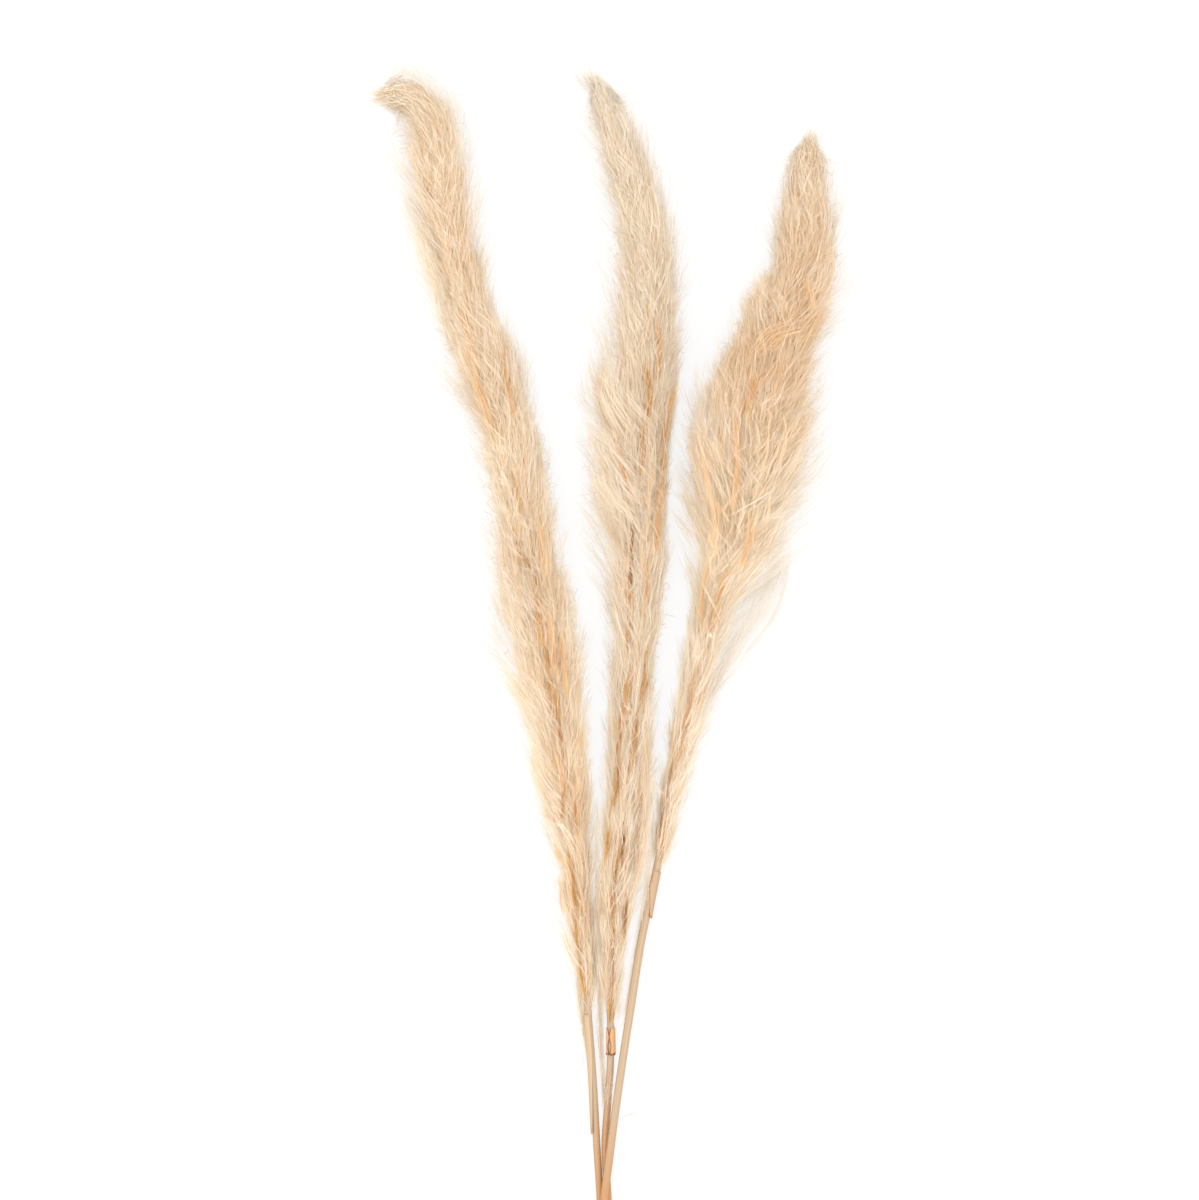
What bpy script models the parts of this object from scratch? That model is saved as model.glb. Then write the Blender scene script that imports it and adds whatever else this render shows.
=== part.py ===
"""A bunch of dried reed: three straw stems that come together at their cut ends, each with one long
feathery plume, laid down on a flat surface.

Units are metres and +Z is up. The bunch lies along +Y with its plumes at the +Y end, and its origin is
under the middle of its outline, on the surface. Each stalk is a list of places along its length, from
the cut end to the tip. A plume is a closed core round the stalk's line. Every face of the core is drawn
out into a tapering tuft that sweeps towards the tip, and the tufts' ends make the plume's outline.
"""

import math

import bmesh
import bpy
import numpy as np

MM = 0.001

# Sizes, in millimetres
CLEARANCE = 0.3
STEM_SIDES = 10
STEM_RING_STEP = 28.0
STEM_IN_PLUME = 18.0
TUFT_ROW_STEP = 40.0
TUFT_LENGTH = 82.0
FULL_TUFT_WIDTH = 60.0
BARE_TIP = 24.0
TIP_OVERRUN = 4.0
TIP_LEAST_HEIGHT = 0.5
CORE_LEAST_RADIUS = 5.6
SHEATH_WALL = 0.9
SHEATH_GAP = 0.4
SHEATH_FLARE = 0.9

# Shares of a length or a width
CORE_SHARE = 0.56
CORE_MOST_SHARE = 0.78
DEPTH_SHARE = 0.78
WAIST_LEVEL = 0.5
WAIST_SIZE = 0.5
FOOT_SIZE = 0.3
THIN_TUFT_SHARE = 0.6
TIP_TUFT_SHARE = 0.6

# Feet: the stretch of the plume that has them, as shares of its length, and how far round they reach
FOOT_STRETCH = (0.3, 0.8)
FOOT_SPREAD = math.radians(20)

# Unevenness of the tufts: shares of their length and reach, turns in radians, and its waves' lengths
LENGTH_SPREAD = 0.1
REACH_SPREAD = 0.09
TWIST_SPREAD = 0.08
WAVES = 6
WAVE_LENGTHS = (70.0, 190.0)
SEED = 2

# How much shorter the tufts are for each radian that the stalk bends within one
BEND_EFFECT = 1.3

SHEATH_ROWS = 5
SHEATH_COLUMNS = 8

# Each stem row is the stalk's centre: x, y and height. Each plume row adds how far the fluff reaches
# from there to the left and to the right, looking towards the tip from above. How far it reaches
# upwards is a share of half its width, and the fullest plume stands up the most.
STALKS = {
    "left": {
        "stem_radius": 3.6,
        "tuft_columns": 10,
        "height_share": 0.78,
        "stem": [
            (-6.8, -565, 3.5),
            (-7.2, -515, 3.5),
            (-10.1, -468, 3.7),
            (-12.7, -420, 4.8),
            (-15.6, -376, 6.4),
        ],
        "plume": [
            (-18.7, -335, 8.2, 9.6, 7.0),
            (-21.1, -285, 10, 15.8, 8.4),
            (-26.4, -228, 12, 20, 11.5),
            (-32.2, -170, 14, 21, 15),
            (-39.8, -112, 17, 29, 26),
            (-49, -55, 20, 29, 30),
            (-58, 3, 22, 40, 34),
            (-67, 60, 23, 37, 35),
            (-77, 118, 23, 35, 32),
            (-86, 176, 23, 31, 29),
            (-98, 233, 23, 32, 31),
            (-116, 291, 23, 37, 35),
            (-134, 349, 22, 31, 26),
            (-148, 397, 21, 33, 28),
            (-157, 440, 20, 40, 27),
            (-163, 484, 18, 33, 26),
            (-168, 513, 17, 25, 26),
            (-179, 534, 16, 17, 20),
            (-197, 546, 15, 12, 13),
            (-219, 546, 14, 6, 6),
        ],
    },
    "middle": {
        "stem_radius": 3.6,
        "tuft_columns": 10,
        "height_share": 0.78,
        "stem": [
            (0.5, -574, 3.5),
            (0.5, -515, 3.5),
            (-2.3, -468, 3.7),
            (0.5, -420, 4.6),
            (3.0, -381, 5.8),
        ],
        "plume": [
            (3.0, -348, 7.2, 10, 8.4),
            (2.4, -304, 9.5, 14, 13),
            (6.2, -247, 12.5, 20, 20),
            (12, -189, 15, 22, 25),
            (17, -132, 17, 23, 26),
            (21, -74, 18, 25, 26),
            (24, -16, 18.5, 23, 23),
            (28, 41, 20, 27, 25),
            (32, 99, 22, 35, 29),
            (34, 156, 25, 48, 26),
            (36, 214, 27, 55, 27),
            (37, 257, 27, 56, 31),
            (38, 300, 26, 43, 31),
            (39, 348, 24, 37, 30),
            (38, 396, 22, 34, 30),
            (28, 444, 19, 31, 27),
            (13, 492, 16, 22, 25),
            (-1, 529, 14, 17, 22),
            (-12, 556, 12, 17, 17),
            (-23, 573, 10, 7, 7),
        ],
    },
    "right": {
        "stem_radius": 3.9,
        "tuft_columns": 14,
        "height_share": 0.87,
        "stem": [
            (-3.2, -569, 10.7),
            (-3.0, -515, 11.0),
            (1.7, -477, 11.4),
            (5.3, -448, 11.6),
            (9.1, -420, 11.9),
            (14.7, -381, 12.3),
            (23.5, -324, 13.2),
            (32.6, -266, 14.2),
            (40.8, -228, 15),
        ],
        "plume": [
            (47.5, -197, 15.7, 7.4, 7.8),
            (56.2, -151, 17, 8.8, 10.6),
            (67.7, -93, 19.5, 10.5, 17),
            (80, -36, 23, 14, 29),
            (92, 13, 26, 20, 50),
            (105, 60, 30, 28, 59),
            (118, 104, 33, 39, 59),
            (129, 156, 36, 52, 55),
            (138, 204, 38, 61, 57),
            (147, 252, 38, 62, 56),
            (161, 300, 35, 47, 46),
            (175, 348, 32, 47, 46),
            (186, 392, 28, 33, 41),
            (191, 435, 23, 30, 28),
            (195, 473, 18, 25, 19),
            (199, 499, 15, 18, 16),
            (202, 514, 13, 7, 7),
        ],
    },
}

# Dried leaf sheaths round the stems: the stalk, the stretch between two places along y, the middle of
# the wrapped side and half its spread in degrees (0 is +X, 90 is up), and how narrow the lower end is.
SHEATHS = {
    "sheath_left": ("left", -452.0, -338.0, 150.0, 74.0, 0.22),
    "sheath_middle": ("middle", -376.5, -351.0, -64.0, 168.0, 0.97),
    "sheath_right": ("right", -243.0, -200.0, 20.0, 105.0, 0.3),
}

PLUME_COLOURS = {
    "left": (0.80, 0.58, 0.36),
    "middle": (0.82, 0.66, 0.49),
    "right": (0.81, 0.60, 0.39),
}
STEM_COLOUR = (0.78, 0.55, 0.32)
SHEATH_COLOUR = (0.62, 0.36, 0.18)


def clear_scene():
    """Remove every object that the file opened with."""
    for obj in list(bpy.data.objects):
        bpy.data.objects.remove(obj, do_unlink=True)


def make_material(name, colour, roughness):
    """A Principled material of one colour."""
    material = bpy.data.materials.new(name)
    material.use_nodes = True
    shader = material.node_tree.nodes["Principled BSDF"]
    shader.inputs["Base Color"].default_value = (*colour, 1.0)
    shader.inputs["Roughness"].default_value = roughness
    shader.inputs["Metallic"].default_value = 0.0
    return material


def read_curve(lengths, rows, at):
    """Rows read at the lengths `at` from a smooth curve through `rows`, which lie at `lengths`. Between
    two rows it is a cubic that keeps their slopes, and past either end it runs straight on."""
    slopes = np.gradient(rows, lengths, axis=0)
    inside = np.clip(at, lengths[0], lengths[-1])
    i = np.clip(np.searchsorted(lengths, inside, side="right") - 1, 0, len(lengths) - 2)
    span = lengths[i + 1] - lengths[i]
    t = ((inside - lengths[i]) / span)[:, None]
    span = span[:, None]
    curve = (
        (1 + 2 * t) * (1 - t) ** 2 * rows[i]
        + t * (1 - t) ** 2 * span * slopes[i]
        + t**2 * (3 - 2 * t) * rows[i + 1]
        + t**2 * (t - 1) * span * slopes[i + 1]
    )
    past = (np.asarray(at) - inside)[:, None]
    end_slope = np.where(past > 0, slopes[-1], slopes[0])
    return curve + past * end_slope


class Stalk:
    """The line of one stalk, and how far its fluff reaches round it at each length."""

    def __init__(self, data):
        stem = np.array(data["stem"], float)
        plume = np.array(data["plume"], float)
        self.line = np.concatenate([stem, plume[:, :3]])
        steps = np.linalg.norm(np.diff(self.line, axis=0), axis=1)
        self.lengths = np.concatenate([[0.0], np.cumsum(steps)])
        self.plume_lengths = self.lengths[len(stem) :]
        self.reach = plume[:, 3:]
        self.stem_radius = data["stem_radius"]
        self.columns = data["tuft_columns"]
        self.height_share = data["height_share"]
        self.base = self.plume_lengths[0]
        self.tip = self.plume_lengths[-1]

    def centre(self, at):
        return read_curve(self.lengths, self.line, at)

    def side(self, at):
        """The level direction across the stalk, to the right of its way to the tip."""
        ahead = self.centre(np.asarray(at) + 1.0) - self.centre(np.asarray(at) - 1.0)
        across = np.stack([ahead[:, 1], -ahead[:, 0], np.zeros(len(ahead))], axis=1)
        return across / np.linalg.norm(across, axis=1)[:, None]

    def reaches(self, at):
        """How far the fluff reaches to the left, right, up and down."""
        inside = np.clip(at, self.base, self.tip)
        left, right = read_curve(self.plume_lengths, self.reach, inside).T
        half_width = (left + right) / 2
        height = self.centre(inside)[:, 2]
        down = np.minimum(DEPTH_SHARE * half_width, height)
        return left, right, self.height_share * half_width, down

    def core_radius(self, at):
        left, right, _, down = self.reaches(at)
        least = np.minimum(np.minimum(left, right), down)
        wanted = np.maximum(CORE_LEAST_RADIUS, CORE_SHARE * np.minimum(left, right))
        return np.minimum(wanted, CORE_MOST_SHARE * least)

    def outer_radius(self, at, angle):
        """The outline's distance at an angle: a quarter of an ellipse between each two reaches."""
        left, right, up, down = self.reaches(at)
        across = np.where(np.cos(angle) > 0, right, left)
        upright = np.where(np.sin(angle) > 0, up, down)
        return 1 / np.hypot(np.cos(angle) / across, np.sin(angle) / upright)

    def ring(self, at, angle, radius):
        """Points at a radius and an angle round the line, where 0 is the right side and a quarter
        turn is straight up."""
        across = self.side(at) * (radius * np.cos(angle))[:, None]
        upright = np.array([0.0, 0.0, 1.0]) * (radius * np.sin(angle))[:, None]
        return self.centre(at) + across + upright

    def point(self, at, angle, level):
        """Points between the core, where level is 0, and the outline, where it is 1."""
        at = np.asarray(at, float)
        angle = np.asarray(angle, float)
        core = self.core_radius(at)
        return self.ring(at, angle, core + level * (self.outer_radius(at, angle) - core))


def tuft_share(stalk, at):
    """How long the tufts and their rows are, as a share of the longest: less where the plume is thin
    and where its line bends within a tuft's length."""
    left, right, _, _ = stalk.reaches(at)
    thin = np.clip((left + right) / FULL_TUFT_WIDTH, THIN_TUFT_SHARE, 1.0)
    turned = np.linalg.norm(stalk.side(at + TUFT_LENGTH) - stalk.side(at), axis=1)
    return thin / (1 + BEND_EFFECT * turned)


def make_waves(draw):
    """A smooth uneven pattern round and along a plume: the mean of a few waves of random slant."""
    lengths = draw.uniform(*WAVE_LENGTHS, WAVES)
    turns = draw.integers(-3, 4, WAVES)
    starts = draw.uniform(0, 2 * math.pi, WAVES)

    def waves(at, angle):
        phase = 2 * math.pi * at[:, None] / lengths + turns * angle[:, None] + starts
        return np.sin(phase).mean(axis=1) * math.sqrt(WAVES / 2)

    return waves


def finish_object(bm, name, material):
    """Turn a bmesh whose points are in millimetres into a named object."""
    bmesh.ops.scale(bm, vec=(MM, MM, MM), verts=bm.verts)
    mesh = bpy.data.meshes.new(name)
    bm.to_mesh(mesh)
    bm.free()
    mesh.materials.append(material)
    mesh.shade_smooth()
    mesh.set_sharp_from_angle(angle=math.radians(50))
    obj = bpy.data.objects.new(name, mesh)
    bpy.context.scene.collection.objects.link(obj)
    return obj


def add_ring(bm, points):
    return [bm.verts.new(point) for point in points]


def join_rings(bm, lower, upper):
    """Side faces between two rings of as many points, facing away from the line."""
    for i in range(len(lower)):
        j = (i + 1) % len(lower)
        bm.faces.new((lower[i], upper[i], upper[j], lower[j]))


def ring_angles(count, turned=0.0):
    """Angles of a ring's points, with a flat side straight down, turned by a share of one side."""
    side = 2 * math.pi / count
    return -math.pi / 2 + side * (np.arange(count) + 0.5 + turned)


def make_stem(name, stalk, material):
    """A tube of straight facets from the cut end to its seat inside the plume."""
    count = round(stalk.base / STEM_RING_STEP)
    places = np.append(np.linspace(0.0, stalk.base, count), stalk.base + STEM_IN_PLUME)
    angles = ring_angles(STEM_SIDES)
    radius = np.full(STEM_SIDES, stalk.stem_radius)
    bm = bmesh.new()
    rings = [
        add_ring(bm, stalk.ring(np.full(STEM_SIDES, at), angles, radius)) for at in places
    ]
    for lower, upper in zip(rings, rings[1:]):
        join_rings(bm, lower, upper)
    bm.faces.new(rings[0])
    bm.faces.new(reversed(rings[-1]))
    return finish_object(bm, name, material)


def make_core(bm, stalk):
    """The core of a plume: rings of points, each turned by half a side from the last, joined by
    triangles that point to the tip and to the base by turns. It returns the first ring and the
    triangles. Two layers keep each point's length and angle."""
    length_layer = bm.verts.layers.float.new("length")
    angle_layer = bm.verts.layers.float.new("angle")
    columns = stalk.columns
    places = [stalk.base]
    while places[-1] < stalk.tip - BARE_TIP:
        step = TUFT_ROW_STEP * tuft_share(stalk, np.array(places[-1:]))[0]
        places.append(places[-1] + step)
    rings = []
    for row, at in enumerate(places[:-1]):
        lengths = np.full(columns, at)
        angles = ring_angles(columns, turned=0.5 * (row % 2))
        ring = add_ring(bm, stalk.point(lengths, angles, 0.0))
        for vert, angle in zip(ring, angles):
            vert[length_layer] = at
            vert[angle_layer] = angle
        rings.append(ring)
    triangles = []
    for row, (lower, upper) in enumerate(zip(rings, rings[1:])):
        turned = row % 2
        for i in range(columns):
            j = (i + 1) % columns
            crest = upper[j] if turned else upper[i]
            trough = lower[i] if turned else lower[j]
            triangles.append(bm.faces.new((lower[i], crest, lower[j])))
            triangles.append(bm.faces.new((upper[i], upper[j], trough)))
    return rings[0], rings[-1], triangles


def make_socket(bm, stalk, mouth):
    """A blind hole up the core's lower end, in which the stem sits with a small clearance."""
    count = len(mouth)
    angles = ring_angles(count)
    radius = np.full(count, stalk.stem_radius + CLEARANCE)
    rings = [mouth]
    for depth in (0.0, STEM_IN_PLUME + CLEARANCE):
        at = np.full(count, stalk.base + depth)
        rings.append(add_ring(bm, stalk.ring(at, angles, radius)))
    for outer, inner in zip(rings, rings[1:]):
        join_rings(bm, inner, outer)
    bm.faces.new(rings[-1])


def grow_tufts(bm, stalk, faces, draw):
    """Draw every face of the core out into a tuft. Its waist is the face made smaller and moved half
    the way to the tip, both along the stalk and outwards, and its tip is a point on the outline. As
    each point moves by the same rule, no tuft crosses the next one. Straight below the heavy middle
    of the plume a tuft ends at a flat foot on the surface instead."""
    length_layer = bm.verts.layers.float["length"]
    angle_layer = bm.verts.layers.float["angle"]
    grown = bmesh.ops.extrude_discrete_faces(bm, faces=faces)["faces"]
    corner_length = np.array([[v[length_layer] for v in face.verts] for face in grown])
    corner_angle = np.array([[v[angle_layer] for v in face.verts] for face in grown])
    first = corner_angle[:, :1]
    corner_angle = first + (corner_angle - first + math.pi) % (2 * math.pi) - math.pi
    middle = corner_length.mean(axis=1)
    facing = corner_angle.mean(axis=1)

    uneven = 1 + LENGTH_SPREAD * make_waves(draw)(middle, facing)
    length = TUFT_LENGTH * tuft_share(stalk, middle) * uneven
    left_over = stalk.tip + TIP_OVERRUN - middle
    length *= left_over / (left_over + TIP_TUFT_SHARE * length)
    level = 1 + REACH_SPREAD * make_waves(draw)(middle, facing)
    twist = TWIST_SPREAD * make_waves(draw)(middle, facing)

    along = (middle - stalk.base) / (stalk.tip - stalk.base)
    lowest = np.abs((facing + math.pi / 2 + math.pi) % (2 * math.pi) - math.pi) < FOOT_SPREAD
    foot = lowest & (along > FOOT_STRETCH[0]) & (along < FOOT_STRETCH[1])
    ahead = np.where(foot, 1.0, WAIST_LEVEL)
    size = np.where(foot, FOOT_SIZE, WAIST_SIZE)[:, None]

    waist_length = (middle + ahead * length)[:, None]
    waist_angle = (facing + ahead * twist)[:, None]
    corner_length = waist_length + size * (corner_length - middle[:, None])
    corner_angle = waist_angle + size * (corner_angle - facing[:, None])
    waist_level = np.repeat(ahead * level, 3)
    waists = stalk.point(corner_length.ravel(), corner_angle.ravel(), waist_level)
    waists = waists.reshape(len(grown), 3, 3)
    waists[foot, :, 2] = 0.0
    tips = stalk.point(middle + length, facing + twist, level)
    tips[:, 2] = np.maximum(tips[:, 2], TIP_LEAST_HEIGHT)

    for face, corners in zip(grown, waists):
        for vert, corner in zip(face.verts, corners):
            vert.co = corner
    for face, tip, flat in zip(grown, tips, foot):
        if not flat:
            bmesh.ops.poke(bm, faces=[face])["verts"][0].co = tip


def make_plume(name, stalk, material, seed):
    """A plume: its core, closed with a point at the tip, its tufts and the socket for its stem."""
    bm = bmesh.new()
    mouth, last, triangles = make_core(bm, stalk)
    grow_tufts(bm, stalk, triangles, np.random.default_rng(seed))
    make_socket(bm, stalk, mouth)
    point = bm.verts.new(stalk.centre(np.array([stalk.tip]))[0])
    for i, vert in enumerate(last):
        bm.faces.new((vert, point, last[(i + 1) % len(last)]))
    return finish_object(bm, name, material)


def make_sheath(name, stalk, shape, material):
    """A dried leaf base wrapped part of the way round the stem. It is a curved sheet, widest at its
    upper end, whose lower end stands off a little, thickened outwards."""
    _, low, high, facing, spread, narrow = shape
    ends = np.interp([low, high], stalk.line[:, 1], stalk.lengths)
    share = np.linspace(0.0, 1.0, SHEATH_ROWS)
    lengths = ends[0] + share * (ends[1] - ends[0])
    half = math.radians(spread) * (narrow + (1 - narrow) * np.sin(share * math.pi / 2))
    radius = stalk.stem_radius + SHEATH_GAP + SHEATH_FLARE * (1 - share) ** 2
    across = np.linspace(-1.0, 1.0, SHEATH_COLUMNS)
    bm = bmesh.new()
    rows = []
    for at, wrap, r in zip(lengths, half, radius):
        angles = math.radians(facing) + wrap * across
        where = np.full(SHEATH_COLUMNS, at)
        rows.append(add_ring(bm, stalk.ring(where, angles, np.full(SHEATH_COLUMNS, r))))
    for lower, upper in zip(rows, rows[1:]):
        for i in range(SHEATH_COLUMNS - 1):
            bm.faces.new((lower[i], upper[i], upper[i + 1], lower[i + 1]))
    obj = finish_object(bm, name, material)
    wall = obj.modifiers.new("wall", "SOLIDIFY")
    wall.thickness = SHEATH_WALL * MM
    wall.offset = 1.0
    return obj


def main():
    clear_scene()
    stem_material = make_material("dry_reed_straw", STEM_COLOUR, 0.6)
    sheath_material = make_material("dry_leaf_sheath", SHEATH_COLOUR, 0.75)
    stalks = {side: Stalk(data) for side, data in STALKS.items()}
    for seed, (side, stalk) in enumerate(stalks.items(), start=SEED):
        plume_material = make_material(f"reed_plume_{side}", PLUME_COLOURS[side], 0.9)
        make_stem(f"stem_{side}", stalk, stem_material)
        make_plume(f"plume_{side}", stalk, plume_material, seed)
    for name, shape in SHEATHS.items():
        make_sheath(name, stalks[shape[0]], shape, sheath_material)


main()
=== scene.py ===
"""A bunch of dried reed, dressed for its picture: straw stems, papery sheaths and soft plumes.

Every plume is made the way the real one grows. Its stem runs on inside it and carries locks, each a
thin branch that leaves the stem and sweeps to the plume's outline. Round every branch lie long silk
strands, and short fine hairs stand off them and make the soft edge. A place in a plume has three
numbers: how far along the stalk it is, the angle round the stalk, and how far out it lies. The length
of a stalk, and all sizes below, are in millimetres unless they say otherwise.
"""

import math

import bpy
import numpy as np
from bpy.props import FloatProperty, FloatVectorProperty, IntProperty, PointerProperty
from bpy.types import Operator, Panel, PropertyGroup
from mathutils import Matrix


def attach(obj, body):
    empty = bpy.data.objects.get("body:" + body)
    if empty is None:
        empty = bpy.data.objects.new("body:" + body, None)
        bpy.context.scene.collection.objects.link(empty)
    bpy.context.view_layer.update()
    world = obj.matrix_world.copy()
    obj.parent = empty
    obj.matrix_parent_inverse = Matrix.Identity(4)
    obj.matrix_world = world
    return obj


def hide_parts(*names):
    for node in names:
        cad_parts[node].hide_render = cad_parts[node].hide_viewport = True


bl_info = {
    "name": "Dried Reed Bunch",
    "version": (1, 0, 0),
    "blender": (4, 5, 0),
    "location": "3D View > Sidebar > Dried Reed",
    "description": "Dresses the solids of a dried reed bunch with stems, sheaths and soft plumes",
    "category": "Add Mesh",
}

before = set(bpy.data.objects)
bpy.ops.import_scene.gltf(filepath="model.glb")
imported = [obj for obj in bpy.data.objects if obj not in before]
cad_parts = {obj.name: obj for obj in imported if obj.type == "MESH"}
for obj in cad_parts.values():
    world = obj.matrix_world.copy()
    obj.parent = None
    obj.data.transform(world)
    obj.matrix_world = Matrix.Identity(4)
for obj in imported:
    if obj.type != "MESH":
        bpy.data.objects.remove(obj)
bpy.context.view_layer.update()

MM = 0.001
BODY = "root"
SEED = 7
WISP_SEED = SEED + 10
STREAK_SEED = SEED + 40
SHEATH_SEED = SEED + 60

# The photograph's frame: its height in pixels, a pixel's real length and the height above the surface
# where it has that length, the middle of the frame, the camera's sensor and the pixel over the origin
IMAGE_HEIGHT = 1200
PIXEL = 0.96
PLUME_HEIGHT = 20.0
FRAME_CENTRE = (-7.7, 60.5)
SENSOR = 36.0
PHOTO_CENTRE = (607.5, 663.0)

# Lines close to the solids' own. Each stem row is the stalk's centre, as x, y and height, and each plume
# row adds how far the fluff reaches to the left and to the right, looking towards the tip from above.
# A halo row is a share of the plume's length, and how far single hairs stand out to the left and to the
# right there on average. A warmth row is such a share, and how warm the silk's colour is there.
STALKS = {
    "left": {
        "stem_radius": 3.6,
        "stem": [
            (-6.8, -565, 3.5),
            (-7.2, -515, 3.5),
            (-10.1, -468, 3.7),
            (-12.7, -420, 4.8),
            (-15.6, -376, 6.4),
        ],
        "plume": [
            (-18.7, -335, 8.2, 9.6, 7.0),
            (-21.1, -285, 10, 19, 9),
            (-26.4, -228, 12, 25, 12),
            (-32.2, -170, 14, 25, 18),
            (-39.8, -112, 17, 38, 28),
            (-49, -55, 20, 34, 34),
            (-60, 22, 22, 56, 40),
            (-69, 70, 23, 40, 34),
            (-77, 118, 23, 35, 32),
            (-86, 176, 23, 31, 29),
            (-98, 233, 23, 34, 29),
            (-116, 291, 23, 38, 29),
            (-134, 349, 22, 29, 22),
            (-148, 397, 21, 25, 26),
            (-157, 440, 20, 30, 27),
            (-163, 484, 18, 33, 25),
            (-168, 513, 17, 28, 22),
            (-179, 534, 16, 19, 20),
            (-198, 545, 16, 17, 17),
            (-216, 544, 15, 14, 14),
        ],
        "halo": [(0, 2, 2), (0.25, 4, 4), (0.5, 8, 6), (0.7, 9, 8), (0.8, 13, 11), (1, 12, 12)],
        "warmth": [
            (0, 0.30), (0.2, 0.34), (0.34, 0.29), (0.45, 0.32),
            (0.67, 0.34), (0.8, 0.38), (1, 0.36),
        ],
    },
    "middle": {
        "stem_radius": 3.6,
        "stem": [
            (0.5, -574, 3.5),
            (0.5, -515, 3.5),
            (-2.3, -468, 3.7),
            (0.5, -420, 4.6),
            (3.0, -381, 5.8),
        ],
        "plume": [
            (3.0, -348, 7.2, 10, 8.4),
            (2.4, -304, 9.5, 14, 13),
            (6.2, -247, 12.5, 20, 20),
            (12, -189, 15, 22, 25),
            (17, -132, 17, 23, 26),
            (21, -74, 18, 25, 26),
            (24, -16, 18.5, 23, 23),
            (28, 41, 20, 29, 25),
            (32, 99, 22, 42, 26),
            (34, 156, 25, 58, 22),
            (36, 214, 27, 59, 22),
            (37, 257, 27, 61, 29),
            (38, 300, 26, 43, 30),
            (39, 348, 24, 35, 28),
            (38, 396, 22, 27, 28),
            (28, 444, 19, 24, 25),
            (13, 492, 16, 18, 20),
            (0, 529, 14, 12, 16),
            (-9, 555, 13, 9, 12),
        ],
        "halo": [(0, 2, 2), (0.25, 3, 3), (0.45, 7, 3), (0.62, 9, 3), (0.72, 13, 8), (1, 11, 11)],
        "warmth": [(0, 0.25), (0.45, 0.22), (0.62, 0.26), (0.8, 0.29), (1, 0.24)],
    },
    "right": {
        "stem_radius": 3.9,
        "stem": [
            (-3.2, -569, 10.7),
            (-3.0, -515, 11.0),
            (1.7, -477, 11.4),
            (5.3, -448, 11.6),
            (9.1, -420, 11.9),
            (14.7, -381, 12.3),
            (23.5, -324, 13.2),
            (32.6, -266, 14.2),
            (40.8, -228, 15),
        ],
        "plume": [
            (47.5, -197, 15.7, 7.4, 7.8),
            (56.2, -151, 17, 8.8, 10.6),
            (67.7, -93, 19.5, 10.5, 17),
            (80, -36, 23, 14, 22),
            (92, 13, 26, 20, 17),
            (105, 60, 30, 28, 26),
            (118, 104, 33, 49, 46),
            (129, 156, 36, 67, 56),
            (138, 204, 38, 71, 61),
            (147, 252, 38, 64, 57),
            (161, 300, 35, 45, 44),
            (175, 348, 32, 40, 44),
            (182, 370, 30, 23, 50),
            (187, 392, 28, 29, 36),
            (191, 435, 23, 27, 25),
            (192, 473, 18, 18, 15),
            (194, 500, 14, 13, 13),
        ],
        "halo": [(0, 4, 4), (0.3, 5, 7), (0.45, 4, 11), (0.65, 7, 10), (0.8, 7, 7), (1, 10, 10)],
        "warmth": [
            (0, 0.29), (0.2, 0.27), (0.37, 0.22), (0.5, 0.26),
            (0.6, 0.36), (0.69, 0.48), (0.9, 0.46), (1, 0.42),
        ],
    },
}
SIDES = tuple(STALKS)

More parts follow.
